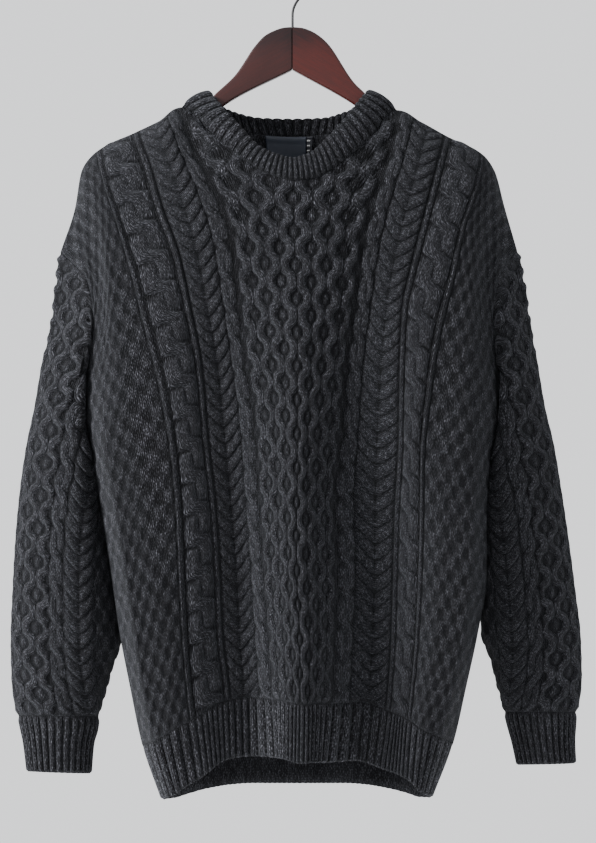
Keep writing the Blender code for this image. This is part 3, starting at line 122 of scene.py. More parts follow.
FRONT_LEFT_Y = (
    #           4   3.67   3.33      3      2    1.5      1    .75     .5    .25      0
    (0.00,   0.6,  -4.0,  -5.1,  -5.1,  -4.2,  -3.5,  -6.5,  -7.9,  -8.7,  -9.1,  -9.2),
    (0.10,   0.6,  -5.5,  -6.0,  -5.6,  -4.2,  -3.4,  -5.8,  -7.2,  -8.2,  -8.7,  -8.9),
    (0.20,   0.6,  -6.3,  -6.4,  -5.8,  -4.2,  -3.3,  -5.4,  -6.6,  -7.6,  -8.2,  -8.5),
    (0.30,   0.6,  -6.4,  -6.4,  -5.7,  -4.2,  -3.2,  -5.1,  -6.2,  -7.2,  -7.9,  -8.2),
    (0.40,   0.6,  -6.1,  -6.0,  -5.4,  -4.1,  -3.2,  -4.8,  -5.9,  -6.8,  -7.5,  -7.8),
    (0.50,   0.6,  -5.4,  -5.5,  -5.1,  -4.1,  -3.4,  -4.5,  -5.5,  -6.3,  -7.0,  -7.3),
    (0.60,   0.6,  -4.5,  -5.0,  -5.0,  -4.3,  -3.7,  -4.4,  -5.2,  -5.9,  -6.5,  -6.7),
    (0.70,   0.6,  -3.1,  -4.6,  -4.9,  -4.6,  -4.3,  -4.5,  -5.0,  -5.5,  -5.9,  -6.3),
    (0.78,  -0.9,  -3.0,  -4.3,  -4.5,  -4.5,  -4.4,  -4.6,  -4.9,  -5.4,  -5.7,  -6.0),
    (0.86,  -1.7,  -2.4,  -3.8,  -4.1,  -4.1,  -4.0,  -4.1,  -4.8,  -5.2,  -5.3,  -5.5),
    (0.93,  -1.5,  -1.7,  -2.8,  -3.0,  -2.7,  -2.8,  -2.3,  -4.2,  -4.8,  -5.0,  -5.2),
    (0.97,  -0.3,  -0.9,  -1.2,  -1.2,  -1.2,  -1.3,  -1.1,  -3.4,  -4.4,  -4.8,  -5.0),
    (1.00,   0.6,   0.6,   0.6,   0.6,   0.6,   0.6,   0.6,  -2.6,  -3.9,  -4.5,  -4.8),
)
FRONT_RIGHT_X = (
    #           4   3.67   3.33      3      2    1.5      1    .75     .5    .25      0
    (0.00,  15.1,  14.1,  13.2,  12.1,   9.4,   6.8,   3.5,   2.7,   2.1,   1.5,   0.7),
    (0.10,  17.3,  15.7,  14.0,  12.6,  10.3,   7.4,   4.1,   3.1,   2.3,   1.6,   0.8),
    (0.20,  18.7,  17.4,  15.2,  13.3,  10.8,   7.8,   4.4,   3.5,   2.5,   1.7,   0.8),
    (0.30,  20.0,  18.6,  16.0,  13.7,  11.0,   8.0,   4.6,   3.5,   2.5,   1.5,   0.5),
    (0.40,  21.0,  19.2,  16.4,  13.9,  11.2,   8.0,   4.3,   3.4,   2.4,   1.4,   0.4),
    (0.50,  21.1,  19.4,  16.8,  14.0,  11.6,   8.2,   5.1,   3.7,   2.5,   1.4,   0.5),
    (0.60,  21.4,  20.1,  17.7,  14.7,  11.7,   8.7,   5.6,   4.2,   2.8,   1.6,   0.5),
    (0.70,  22.7,  20.7,  18.6,  15.8,  12.0,   9.5,   6.6,   4.9,   3.2,   1.9,   0.5),
    (0.78,  22.0,  20.4,  19.1,  17.2,  13.2,  10.4,   7.3,   5.3,   3.5,   2.0,   0.5),
    (0.86,  21.6,  20.7,  19.7,  18.4,  14.6,  11.7,   8.8,   5.6,   3.7,   2.0,   0.3),
    (0.93,  22.2,  21.7,  20.8,  19.9,  15.8,  13.0,  10.3,   6.7,   4.1,   2.0,   0.1),
    (0.97,  23.1,  22.5,  21.6,  20.4,  16.4,  13.6,  10.9,   7.4,   4.5,   2.1,   0.1),
    (1.00,  24.2,  22.9,  21.8,  20.5,  16.6,  13.9,  11.1,   7.8,   4.7,   2.3,   0.1),
)
FRONT_RIGHT_Z = (
    #           4   3.67   3.33      3      2    1.5      1    .75     .5    .25      0
    (0.00, -89.0, -88.6, -87.9, -87.0, -85.9, -85.1, -85.3, -85.3, -85.3, -85.4, -85.4),
    (0.10, -83.3, -82.3, -81.2, -80.1, -79.0, -78.0, -78.1, -78.5, -78.8, -79.1, -79.1),
    (0.20, -77.3, -76.1, -74.5, -73.2, -71.9, -70.9, -70.9, -71.8, -72.4, -72.7, -72.8),
    (0.30, -71.3, -69.7, -67.7, -66.2, -64.9, -63.8, -63.6, -65.1, -65.9, -66.4, -66.5),
    (0.40, -65.3, -63.2, -60.8, -59.3, -57.8, -56.7, -56.4, -58.3, -59.4, -60.1, -60.2),
    (0.50, -59.2, -56.7, -53.9, -52.3, -50.8, -49.6, -49.2, -51.5, -53.0, -53.8, -53.9),
    (0.60, -53.1, -50.2, -47.1, -45.4, -43.7, -42.6, -42.0, -44.8, -46.5, -47.5, -47.6),
    (0.70, -47.1, -43.8, -40.3, -38.5, -36.7, -35.5, -34.8, -38.1, -40.1, -41.2, -41.3),
    (0.78, -42.4, -38.6, -34.8, -33.1, -31.2, -29.9, -29.1, -32.7, -34.9, -36.1, -36.3),
    (0.86, -37.5, -33.4, -29.3, -27.7, -25.8, -24.4, -23.5, -27.3, -29.7, -31.1, -31.3),
    (0.93, -33.3, -29.0, -24.8, -23.2, -21.2, -19.8, -19.0, -22.7, -25.2, -26.6, -26.9),
    (0.97, -31.4, -26.7, -22.6, -20.9, -18.8, -17.4, -16.3, -20.2, -22.7, -24.1, -24.4),
    (1.00, -30.1, -25.6, -21.6, -19.8, -17.8, -16.3, -15.0, -18.4, -20.9, -22.3, -22.5),
)
FRONT_RIGHT_Y = (
    #           4   3.67   3.33      3      2    1.5      1    .75     .5    .25      0
    (0.00,   0.6,  -3.2,  -4.7,  -4.8,  -4.0,  -3.5,  -6.6,  -7.9,  -8.7,  -9.1,  -9.2),
    (0.10,   0.6,  -4.9,  -5.7,  -5.1,  -3.9,  -3.4,  -5.9,  -7.2,  -8.2,  -8.7,  -8.9),
    (0.20,   0.6,  -6.0,  -6.2,  -5.1,  -3.8,  -3.3,  -5.5,  -6.6,  -7.6,  -8.3,  -8.5),
    (0.30,   0.6,  -6.2,  -6.4,  -5.2,  -3.9,  -3.4,  -5.2,  -6.2,  -7.2,  -7.9,  -8.2),
    (0.40,   0.6,  -5.9,  -6.1,  -5.2,  -4.0,  -3.5,  -5.0,  -5.9,  -6.8,  -7.5,  -7.8),
    (0.50,   0.6,  -5.1,  -5.5,  -5.1,  -4.3,  -3.7,  -4.5,  -5.5,  -6.3,  -7.0,  -7.3),
    (0.60,   0.6,  -4.1,  -5.0,  -5.0,  -4.5,  -4.0,  -4.4,  -5.2,  -5.9,  -6.5,  -6.7),
    (0.70,   0.6,  -3.1,  -4.6,  -4.8,  -4.6,  -4.3,  -4.6,  -5.0,  -5.5,  -5.9,  -6.3),
    (0.78,  -0.9,  -3.0,  -4.3,  -4.5,  -4.5,  -4.4,  -4.6,  -4.9,  -5.4,  -5.7,  -6.0),
    (0.86,  -1.7,  -2.4,  -3.8,  -4.2,  -4.1,  -4.1,  -4.1,  -4.8,  -5.2,  -5.4,  -5.5),
    (0.93,  -1.6,  -1.7,  -2.8,  -2.9,  -3.0,  -2.9,  -2.5,  -4.2,  -4.8,  -5.1,  -5.2),
    (0.97,  -0.4,  -0.9,  -1.1,  -1.2,  -1.3,  -1.3,  -1.2,  -3.4,  -4.4,  -4.8,  -5.0),
    (1.00,   0.6,   0.6,   0.6,   0.6,   0.6,   0.6,   0.6,  -2.6,  -3.9,  -4.5,  -4.8),
)
BACK_LEFT_X = (
    #           4   3.67   3.33      3      2    1.5      1    0.5      0
    (0.00, -14.2, -13.0, -11.4,  -9.3,  -6.2,  -4.5,  -2.8,  -1.0,   0.8),
    (0.10, -16.2, -15.0, -13.1, -10.8,  -7.2,  -5.4,  -3.3,  -1.3,   0.7),
    (0.20, -17.5, -16.2, -14.2, -11.7,  -7.9,  -5.9,  -3.7,  -1.5,   0.7),
    (0.30, -18.7, -17.3, -15.2, -12.5,  -8.5,  -6.3,  -4.0,  -1.7,   0.6),
    (0.40, -19.6, -18.2, -15.9, -13.1,  -8.9,  -6.7,  -4.3,  -1.9,   0.5),
    (0.50, -20.6, -19.1, -16.8, -13.8,  -9.4,  -7.1,  -4.6,  -2.1,   0.4),
    (0.60, -21.6, -20.1, -17.7, -14.6, -10.0,  -7.5,  -4.9,  -2.3,   0.4),
    (0.70, -22.7, -21.2, -19.0, -16.1, -11.4,  -8.9,  -6.2,  -2.9,   0.3),
    (0.78, -21.8, -20.3, -18.6, -16.1, -11.9,  -9.5,  -7.0,  -3.3,   0.3),
    (0.86, -21.8, -20.4, -19.1, -16.9, -12.9, -10.6,  -8.2,  -3.9,   0.2),
    (0.93, -23.2, -21.8, -20.7, -18.8, -14.7, -12.3,  -9.8,  -4.6,   0.1),
    (0.97, -24.4, -22.9, -22.0, -20.2, -16.1, -13.5, -11.0,  -5.2,   0.1),
    (1.00, -25.0, -23.5, -22.7, -21.0, -16.9, -14.4, -11.8,  -5.6,   0.1),
)
BACK_LEFT_Z = (
    #           4   3.67   3.33      3      2    1.5      1    0.5      0
    (0.00, -89.2, -89.1, -88.6, -88.0, -87.5, -87.4, -87.4, -87.4, -87.4),
    (0.10, -83.4, -83.1, -82.2, -81.3, -80.5, -80.3, -80.2, -80.4, -80.5),
    (0.20, -77.3, -76.9, -75.7, -74.5, -73.6, -73.2, -72.9, -73.4, -73.5),
    (0.30, -71.1, -70.7, -69.1, -67.8, -66.6, -66.1, -65.7, -66.4, -66.6),
    (0.40, -64.9, -64.4, -62.6, -61.0, -59.6, -59.1, -58.5, -59.4, -59.6),
    (0.50, -58.7, -58.2, -56.1, -54.2, -52.7, -52.0, -51.2, -52.4, -52.7),
    (0.60, -52.6, -52.0, -49.6, -47.5, -45.7, -44.9, -44.0, -45.4, -45.7),
    (0.70, -46.5, -45.8, -43.1, -40.7, -38.7, -37.8, -36.8, -38.4, -38.8),
    (0.78, -42.1, -41.2, -38.0, -35.4, -33.2, -32.1, -31.0, -32.8, -33.2),
    (0.86, -37.2, -36.2, -32.8, -29.9, -27.6, -26.5, -25.2, -27.2, -27.6),
    (0.93, -33.1, -32.0, -28.3, -25.2, -22.7, -21.5, -20.1, -22.3, -22.8),
    (0.97, -31.3, -29.9, -25.8, -22.5, -19.7, -18.5, -17.0, -19.5, -20.0),
    (1.00, -30.3, -25.8, -21.5, -19.4, -17.4, -16.2, -14.7, -17.4, -17.9),
)
BACK_LEFT_Y = (
    #           4   3.67   3.33      3      2    1.5      1    0.5      0
    (0.00,   0.6,   3.6,   5.6,   6.8,   6.6,   6.9,   7.6,   8.0,   7.6),
    (0.10,   0.6,   3.8,   5.9,   7.0,   6.6,   6.9,   7.6,   8.2,   7.7),
    (0.20,   0.6,   4.0,   6.2,   7.2,   6.7,   7.0,   7.7,   8.3,   7.9),
    (0.30,   0.6,   4.2,   6.4,   7.4,   6.8,   7.0,   7.8,   8.4,   8.0),
    (0.40,   0.6,   4.2,   6.3,   7.3,   6.9,   7.0,   7.6,   8.1,   7.8),
    (0.50,   0.6,   4.2,   6.2,   7.2,   6.9,   7.0,   7.4,   7.8,   7.6),
    (0.60,   0.6,   4.1,   5.9,   6.8,   6.8,   6.8,   7.2,   7.4,   7.3),
    (0.70,   0.6,   4.0,   5.6,   6.4,   6.6,   6.7,   6.9,   7.0,   7.0),
    (0.78,   3.3,   4.2,   5.4,   5.9,   6.2,   6.3,   6.5,   6.6,   6.6),
    (0.86,   4.5,   4.9,   5.2,   5.4,   5.6,   5.7,   5.9,   6.0,   6.1),
    (0.93,   3.4,   4.3,   4.2,   4.3,   4.4,   4.4,   4.3,   5.3,   5.6),
    (0.97,   2.2,   2.9,   2.8,   2.9,   3.0,   3.0,   3.0,   4.7,   5.2),
    (1.00,   0.6,   0.6,   0.6,   0.6,   0.6,   0.6,   0.6,   4.1,   4.9),
)
BACK_RIGHT_X = (
    #           4   3.67   3.33      3      2    1.5      1    0.5      0
    (0.00,  15.1,  14.0,  12.4,  10.5,   7.5,   5.9,   4.2,   2.5,   0.8),
    (0.10,  17.3,  15.8,  14.0,  11.8,   8.4,   6.6,   4.6,   2.7,   0.7),
    (0.20,  18.7,  17.1,  15.2,  12.7,   9.0,   7.0,   4.9,   2.8,   0.7),
    (0.30,  20.0,  18.5,  16.4,  13.7,   9.6,   7.5,   5.2,   2.9,   0.6),
    (0.40,  21.0,  19.6,  17.3,  14.4,  10.1,   7.9,   5.4,   3.0,   0.5),
    (0.50,  21.1,  19.7,  17.4,  14.5,  10.2,   7.9,   5.4,   2.9,   0.4),
    (0.60,  21.4,  19.9,  17.6,  14.7,  10.3,   7.9,   5.4,   2.9,   0.4),
    (0.70,  22.7,  21.2,  19.0,  16.3,  11.8,   9.3,   6.6,   3.5,   0.3),
    (0.78,  21.8,  20.4,  18.6,  16.3,  12.1,   9.8,   7.2,   3.7,   0.3),
    (0.86,  21.8,  20.5,  18.9,  17.0,  13.1,  10.7,   8.2,   4.2,   0.2),
    (0.93,  22.9,  21.6,  20.2,  18.6,  14.7,  12.2,   9.5,   4.8,   0.1),
    (0.97,  23.8,  22.4,  21.2,  19.8,  15.9,  13.2,  10.5,   5.3,   0.1),
    (1.00,  24.2,  22.9,  21.8,  20.5,  16.6,  13.9,  11.1,   5.6,   0.1),
)
BACK_RIGHT_Z = (
    #           4   3.67   3.33      3      2    1.5      1    0.5      0
    (0.00, -89.0, -89.0, -88.5, -88.0, -87.5, -87.4, -87.4, -87.4, -87.4),
    (0.10, -83.3, -83.0, -82.1, -81.3, -80.6, -80.3, -80.2, -80.4, -80.5),
    (0.20, -77.3, -76.9, -75.7, -74.6, -73.7, -73.3, -73.0, -73.4, -73.5),
    (0.30, -71.3, -70.8, -69.2, -67.9, -66.7, -66.2, -65.8, -66.4, -66.6),
    (0.40, -65.3, -64.7, -62.8, -61.2, -59.8, -59.1, -58.6, -59.4, -59.6),
    (0.50, -59.2, -58.5, -56.3, -54.5, -52.9, -52.1, -51.4, -52.4, -52.7),
    (0.60, -53.1, -52.3, -49.8, -47.8, -46.0, -45.0, -44.2, -45.4, -45.7),
    (0.70, -47.1, -46.1, -43.3, -41.1, -39.0, -38.0, -37.0, -38.4, -38.8),
    (0.78, -42.6, -41.4, -38.2, -35.8, -33.5, -32.3, -31.2, -32.8, -33.2),
    (0.86, -37.6, -36.4, -33.0, -30.4, -28.0, -26.7, -25.5, -27.2, -27.6),
    (0.93, -33.2, -32.0, -28.4, -25.7, -23.1, -21.7, -20.4, -22.3, -22.8),
    (0.97, -31.1, -29.8, -25.8, -22.8, -20.1, -18.6, -17.3, -19.5, -20.0),
    (1.00, -30.1, -25.6, -21.6, -19.8, -17.8, -16.3, -15.0, -17.4, -17.9),
)
BACK_RIGHT_Y = (
    #           4   3.67   3.33      3      2    1.5      1    0.5      0
    (0.00,   0.6,   3.6,   5.6,   6.8,   6.6,   6.9,   7.6,   8.0,   7.6),
    (0.10,   0.6,   3.8,   5.9,   7.0,   6.6,   6.9,   7.6,   8.2,   7.7),
    (0.20,   0.6,   4.0,   6.2,   7.2,   6.7,   7.0,   7.7,   8.3,   7.9),
    (0.30,   0.6,   4.2,   6.4,   7.4,   6.8,   7.0,   7.8,   8.4,   8.0),
    (0.40,   0.6,   4.2,   6.3,   7.3,   6.9,   7.0,   7.6,   8.1,   7.8),
    (0.50,   0.6,   4.2,   6.2,   7.2,   6.9,   7.0,   7.4,   7.8,   7.6),
    (0.60,   0.6,   4.1,   5.9,   6.8,   6.8,   6.8,   7.2,   7.4,   7.3),
    (0.70,   0.6,   4.0,   5.6,   6.4,   6.6,   6.7,   6.9,   7.0,   7.0),
    (0.78,   3.3,   4.2,   5.4,   5.9,   6.2,   6.3,   6.5,   6.6,   6.6),
    (0.86,   4.5,   4.9,   5.2,   5.4,   5.6,   5.7,   5.9,   6.0,   6.1),
    (0.93,   3.5,   4.3,   4.2,   4.3,   4.4,   4.4,   4.3,   5.3,   5.6),
    (0.97,   2.2,   2.9,   2.8,   2.9,   3.0,   3.0,   3.0,   4.7,   5.2),
    (1.00,   0.6,   0.6,   0.6,   0.6,   0.6,   0.6,   0.6,   4.1,   4.9),
)

# Sleeves, in cm: share of the length, outer x, z, inner x, z, front y, back y
SLEEVE_LEFT = (
    # share  outer_x  outer_z  inner_x  inner_z  front_y  back_y
    (0.00, -25.0, -30.3, -22.7, -46.5, -1.8, 4.7),
    (0.07, -25.4, -33.8, -22.8, -49.3, -1.9, 6.4),
    (0.15, -25.9, -38.2, -22.2, -51.8, -1.9, 7.2),
    (0.24, -26.8, -42.5, -20.7, -55.4, -1.7, 7.9),
    (0.32, -27.5, -46.8, -20.2, -59.4, -1.6, 8.1),
    (0.41, -28.4, -51.1, -19.6, -62.6, -1.5, 8.2),
    (0.51, -29.1, -55.9, -19.1, -65.6, -1.4, 8.1),
    (0.62, -29.6, -61.3, -18.6, -68.8, -1.3, 7.9),
    (0.73, -29.9, -66.7, -18.4, -72.0, -1.2, 7.6),
    (0.84, -30.1, -72.0, -19.3, -75.1, -1.0, 7.2),
    (0.93, -30.0, -76.4, -19.9, -77.4, -0.8, 6.7),
    (1.00, -29.5, -80.2, -20.8, -80.3, -0.4, 6.1),
)
SLEEVE_RIGHT = (
    (0.00, 24.2, -30.1, 22.7, -47.1, -1.8, 4.7),
    (0.07, 24.9, -33.8, 22.8, -49.8, -1.9, 6.4),
    (0.15, 25.5, -38.2, 21.9, -52.3, -1.9, 7.2),
    (0.24, 26.2, -42.5, 20.7, -55.9, -1.7, 7.9),
    (0.32, 26.9, -46.8, 20.2, -59.4, -1.6, 8.1),
    (0.41, 27.9, -51.1, 20.1, -62.6, -1.5, 8.2),
    (0.51, 28.7, -55.9, 20.0, -65.6, -1.4, 8.1),
    (0.62, 29.5, -61.3, 20.1, -68.4, -1.3, 7.9),
    (0.73, 30.2, -66.7, 20.2, -71.2, -1.2, 7.6),
    (0.84, 30.8, -72.0, 21.2, -74.2, -1.0, 7.2),
    (0.93, 30.9, -76.2, 21.8, -76.6, -0.8, 6.7),
    (1.00, 30.5, -79.8, 22.8, -79.8, -0.4, 6.1),
)
KICK = 0.8             # how far the cloth bunches outwards under the arm, in cm
KICK_AT = 0.035        # share of the sleeve's length at which it stands out most
KICK_TURNS = (0.42, 0.57)                      # where it bunches, ahead of the seam and behind it
KICK_WIDE = 0.08       # share of a turn that a bunch takes
KICK_BEHIND = 0.9      # the bunch behind, as a share of the one ahead
KICK_BACK = 0.2        # and how far it leans backwards
CUFF_LEFT = (
    (0.00, -29.5, -80.2, -20.8, -80.3, -0.4, 6.1),
    (0.25, -29.2, -81.6, -21.0, -81.7, -0.1, 5.8),
    (0.50, -28.9, -83.0, -21.4, -83.1, 0.1, 5.6),
    (1.00, -28.5, -86.2, -21.7, -86.4, 0.3, 5.4),
)
CUFF_RIGHT = (
    (0.00, 30.5, -79.8, 22.8, -79.8, -0.4, 6.1),
    (0.25, 30.4, -81.3, 23.2, -81.4, -0.1, 5.8),
    (0.50, 30.3, -82.8, 23.6, -82.8, 0.1, 5.6),
    (1.00, 30.4, -85.3, 24.2, -85.5, 0.3, 5.4),
)

# Crest of the neckband, in cm, by pattern position along the front and along the back
CREST_FRONT = (
    # place    x      z      y
    (-1.00,  -9.0, -13.0, 0.6),
    (-0.90,  -7.8, -14.4, -1.0),
    (-0.75,  -6.2, -16.2, -2.3),
    (-0.50,  -3.6, -18.9, -3.6),
    (-0.25,  -1.7, -19.8, -4.0),
    (0.00,    0.0, -20.2, -4.1),
    (0.25,    1.8, -19.7, -4.0),
    (0.50,    3.5, -18.3, -3.5),
    (0.75,    5.9, -15.7, -2.3),
    (0.90,    7.3, -13.9, -1.0),
    (1.00,    8.2, -12.9, 0.6),
)
CREST_BACK = (
    (-1.00,  -9.0, -13.0, 0.6),
    (-0.85,  -8.6, -13.7, 2.0),
    (-0.70,  -7.8, -14.6, 3.2),
    (-0.50,  -6.1, -15.4, 4.1),
    (-0.25,  -3.3, -16.0, 4.7),
    (0.00,    0.0, -16.1, 4.9),
    (0.25,    3.2, -16.0, 4.7),
    (0.50,    5.5, -15.4, 4.1),
    (0.70,    7.3, -14.6, 3.2),
    (0.85,    7.9, -13.7, 2.0),
    (1.00,    8.2, -12.9, 0.6),
)

# Hanger outline, in cm: x, z from the middle of the top round the right arm and back
ARM_RIGHT = (
    (0.015, -6.18), (0.91, -6.24), (1.9, -6.55), (2.85, -7.1), (3.8, -7.96), (4.46, -8.82),
    (5.0, -9.68), (6.07, -11.4), (6.72, -12.26), (7.7, -13.2), (9.4, -15.2), (11.1, -16.8),
    (13.9, -18.0), (16.6, -19.45), (18.8, -20.6), (19.5, -21.1), (19.8, -21.7), (19.6, -22.2),
    (19.2, -22.4), (16.6, -21.2), (13.9, -19.8), (11.1, -18.1), (9.2, -16.4), (6.8, -14.6),
    (0.015, -10.75),
)
ARM_LEFT = (
    (-0.015, -6.18), (-0.91, -6.24), (-1.9, -6.55), (-2.96, -7.1), (-3.8, -7.96), (-4.46, -8.82),
    (-5.0, -9.68), (-6.18, -11.4), (-7.04, -12.26), (-8.1, -13.2), (-10.2, -15.4), (-11.8, -16.7),
    (-14.4, -17.75), (-16.9, -19.05), (-19.2, -20.2), (-20.0, -20.8), (-20.3, -21.4),
    (-20.1, -22.0), (-19.5, -22.2), (-16.9, -20.9), (-14.4, -19.6), (-11.8, -18.2),
    (-9.4, -16.3), (-7.4, -14.6), (-0.015, -10.75),
)
HOOK_LINE = (
    (0.0, -6.02), (0.0, -5.5), (0.0, -4.95), (0.03, -4.4), (0.2, -3.8), (0.6, -3.1),
    (1.12, -2.42), (1.58, -1.8), (1.72, -1.15), (1.5, -0.48), (0.85, -0.01), (0.0, 0.13),
    (-0.85, -0.02), (-1.5, -0.52), (-1.8, -1.3), (-1.8, -2.1),
)
HOOK_RADIUS = 0.14     # radius of the wire
ARM_THICK = 1.2        # thickness of the wood
ARM_ROUND = 0.3        # rounding of its edges
HOOK_SET = -6.5        # the wire's end inside the wood
GRAIN_LEAN = 0.53      # lean of the grain, in radians
GRAIN_DRAWN = (0.3, 0.025, 0.025)              # how far the grain is drawn out, x along it
WOOD_TOP_SHADE = (-0.046, -0.085)                # heights between which painted shade darkens the top, in metres
WOOD_JOINT = (0.0002, 0.0006)                  # and distances from the middle for the joint's line

# Label and tag inside the back of the neck, in cm
LABEL_SIDES = (-3.3, 1.56)
LABEL_DROP = 4.3       # height of the label
LABEL_THICK = 0.08
LABEL_FOLD = 0.06      # how much thicker its folded top edge is
LABEL_FOLD_FROM = 0.86                         # share of its height at which the fold starts
TAG_SIDES = (1.64, 2.3)
TAG_DROP = 1.75
BARS_END = 2.02        # where the bars across the tag end
BARS_TO_CM = 1.9       # bars to a centimetre
LABEL_OFF = 0.13       # label clear of the cloth behind it
LABEL_STAND = 0.1      # and further at its top, over the band's ribs
LABEL_LIFT = 0.3       # up from the seam
LABEL_TOP = 0.995      # level of its top edge
BODY_CM = 69.5         # height of the back that one whole level stands for
BACK_CM = 11.8         # width of the back's neck that one place stands for
SATIN_THREAD = 0.035   # one thread of the satin to the next
SATIN_LEAN = 34.0      # lean of the crosswise threads


def slopes(xs, ys):
    """Slopes of the smooth curve through ys at xs that never overshoots them."""
    h = np.diff(xs)[:, None]
    d = np.diff(ys, axis=0) / h
    m = np.zeros_like(ys)
    m[0], m[-1] = d[0], d[-1]
    same = d[:-1] * d[1:] > 0
    w1 = 2 * h[1:] + h[:-1]
    w2 = h[1:] + 2 * h[:-1]
    safe0 = np.where(same, d[:-1], 1.0)
    safe1 = np.where(same, d[1:], 1.0)
    m[1:-1] = np.where(same, (w1 + w2) / (w1 / safe0 + w2 / safe1), 0.0)
    return m


def smooth(xs, ys, at):
    """The smooth curve through the rows of ys at xs, read at each value of at."""
    xs, at = np.asarray(xs, float), np.asarray(at, float)
    ys = np.asarray(ys, float)
    flat = ys.reshape(len(xs), -1)
    m = slopes(xs, flat)
    i = np.clip(np.searchsorted(xs, at, side="right") - 1, 0, len(xs) - 2)
    h = (xs[i + 1] - xs[i])[:, None]
    u = ((at - xs[i])[:, None]) / h
    a = (1 + 2 * u) * (1 - u) ** 2 * flat[i] + u * (1 - u) ** 2 * h * m[i]
    b = u * u * (3 - 2 * u) * flat[i + 1] + u * u * (u - 1) * h * m[i + 1]
    return (a + b).reshape((len(at),) + ys.shape[1:])


def seen(p):
    """World metres for points given as seen x, seen z and depth y in cm; the seams lie in y 0."""
    x, z, y = p[..., 0], p[..., 1], p[..., 2]
    k = (VIEW_DISTANCE + y) / VIEW_DISTANCE
    world = np.stack([VIEW_X + (x - VIEW_X) * k, y - SEAM_Y, VIEW_Z + (z - VIEW_Z) * k], axis=-1)
    return world * CM


def unit(v):
    """Vectors of length one."""
    return v / np.maximum(np.linalg.norm(v, axis=-1, keepdims=True), 1e-12)


def with_rib(table):
    """The table with its rib level moved in each column to the rib's height above the hem."""
    out = table.copy()
    for c in range(table.shape[1]):
        column = table[:, c]
        length = np.linalg.norm(np.diff(column, axis=0), axis=1).sum()
        own = np.interp(LEVELS, (0, RIB_TOP, ARMPIT, 1), (0, RIB_CM / length, ARMPIT, 1))
        out[:, c] = smooth(LEVELS, column, own)
    return out


def body_table(places, *sides):
    """Places over the whole width, and x, z and y at each level and place, from the sides' tables."""
    at = np.concatenate([-np.array(places), np.array(places)[-2::-1]])
    both = [np.concatenate([np.array(left)[:, 1:], np.array(right)[:, -2:0:-1]], axis=1)
            for left, right in sides]
    return at, with_rib(np.stack(both, axis=-1))


LEVELS = np.array([row[0] for row in FRONT_LEFT_X])
BODY = {
    "front": body_table(FRONT_PLACES, (FRONT_LEFT_X, FRONT_RIGHT_X), (FRONT_LEFT_Z, FRONT_RIGHT_Z),
                        (FRONT_LEFT_Y, FRONT_RIGHT_Y)),
    "back": body_table(BACK_PLACES, (BACK_LEFT_X, BACK_RIGHT_X), (BACK_LEFT_Z, BACK_RIGHT_Z),
                       (BACK_LEFT_Y, BACK_RIGHT_Y)),
}


def panel(which, at, levels):
    """Points of the front or back by pattern position and level, levels first."""
    places, table = BODY[which]
    rows = smooth(LEVELS, table, levels)
    grid = smooth(places, np.swapaxes(rows, 0, 1), at)
    return seen(np.swapaxes(grid, 0, 1))


def hole_normal(turn, side):
    """The shared facing round the armhole, turn 0 the shoulder, 0.25 mid-front, 0.5 the armpit."""
    a = turn * 2 * math.pi
    up = np.cos(a)
    out = 0.28 + 0.65 * np.maximum(up, 0)
    return unit(np.stack([side * out, -0.95 * np.sin(a), np.where(up > 0, 0.3, 0.95) * up], axis=-1))


def eased(share):
    """0 to 1 with level ends."""
    share = np.clip(share, 0, 1)
    return share * share * (3 - 2 * share)


def panel_normals(which, at, levels):
    """Points and facings of the front or back, agreed with the neighbour at every seam."""
    at, levels = np.asarray(at, float), np.asarray(levels, float)
    points = panel(which, at, levels)
    up = (panel(which, at, np.minimum(levels + NEARBY, 1))
          - panel(which, at, np.maximum(levels - NEARBY, 0)))
    across = (panel(which, np.minimum(at + NEARBY, 4), levels)
              - panel(which, np.maximum(at - NEARBY, -4), levels))
    n = unit(np.cross(across, up))
    if which == "back":
        n = -n
    # The side seam and the armhole face outwards
    low = 0.5 * (1 - (np.maximum(levels, ARMPIT) - ARMPIT) / (1 - ARMPIT))
    for side in (-1, 1):
        hole = hole_normal(low if which == "front" else -low, side)
        hole[levels < ARMPIT - 1e-6] = (side, 0, 0)
        near = eased(1 - (4 - side * at) / SIDE_TURN)[None, :, None]
        n = unit(n * (1 - near) + hole[:, None] * near)
    # The shoulder seam faces up
    if levels[-1] > TOP_LEVEL:
        along = np.gradient(points[-1], axis=0)
        top = unit(np.stack([-along[:, 2], 0 * along[:, 0], along[:, 0]], axis=-1))
        past_neck = eased((np.abs(at) - NECK_PLACE) / (1 - NECK_PLACE))[None]
        near = eased(1 - (1 - levels) / TOP_TURN)[:, None] * past_neck
        near = near * eased((4 - np.abs(at)) / SIDE_TURN)[None]
        n = unit(n * (1 - near[..., None]) + top[None] * near[..., None])
    return points, n


# The knit, in cm
STITCH = 0.32          # width of a stitch
COURSE = 0.28          # height of a stitch
FLAT_PLACES = (0.0, 1.0, 2.0, 3.0, 4.0)
FLAT_ACROSS = (0.0, 6.4, 12.8, 17.6, 28.0)     # cut width from the centre to each pattern position

# Bands of the pattern from the centre outwards across the flat cloth
BODY_BANDS = (
    # from    to    kind        cells
    (0.0, 6.2, "honeycomb", 7),
    (6.2, 6.9, "purl", 0),
    (6.9, 8.5, "rope", 0),
    (8.5, 12.3, "chevron", 0),
    (12.3, 13.3, "twist", 0),
    (13.3, 17.1, "rope", 0),
    (17.1, 18.1, "twist", 0),
    (18.1, 40.0, "moss", 0),
)
SLEEVE_BANDS = (
    (0.0, 6.2, "honeycomb", 6),
    (6.2, 8.0, "rope", 0),
    (8.0, 11.4, "chevron", 0),
    (11.4, 40.0, "moss", 0),
)
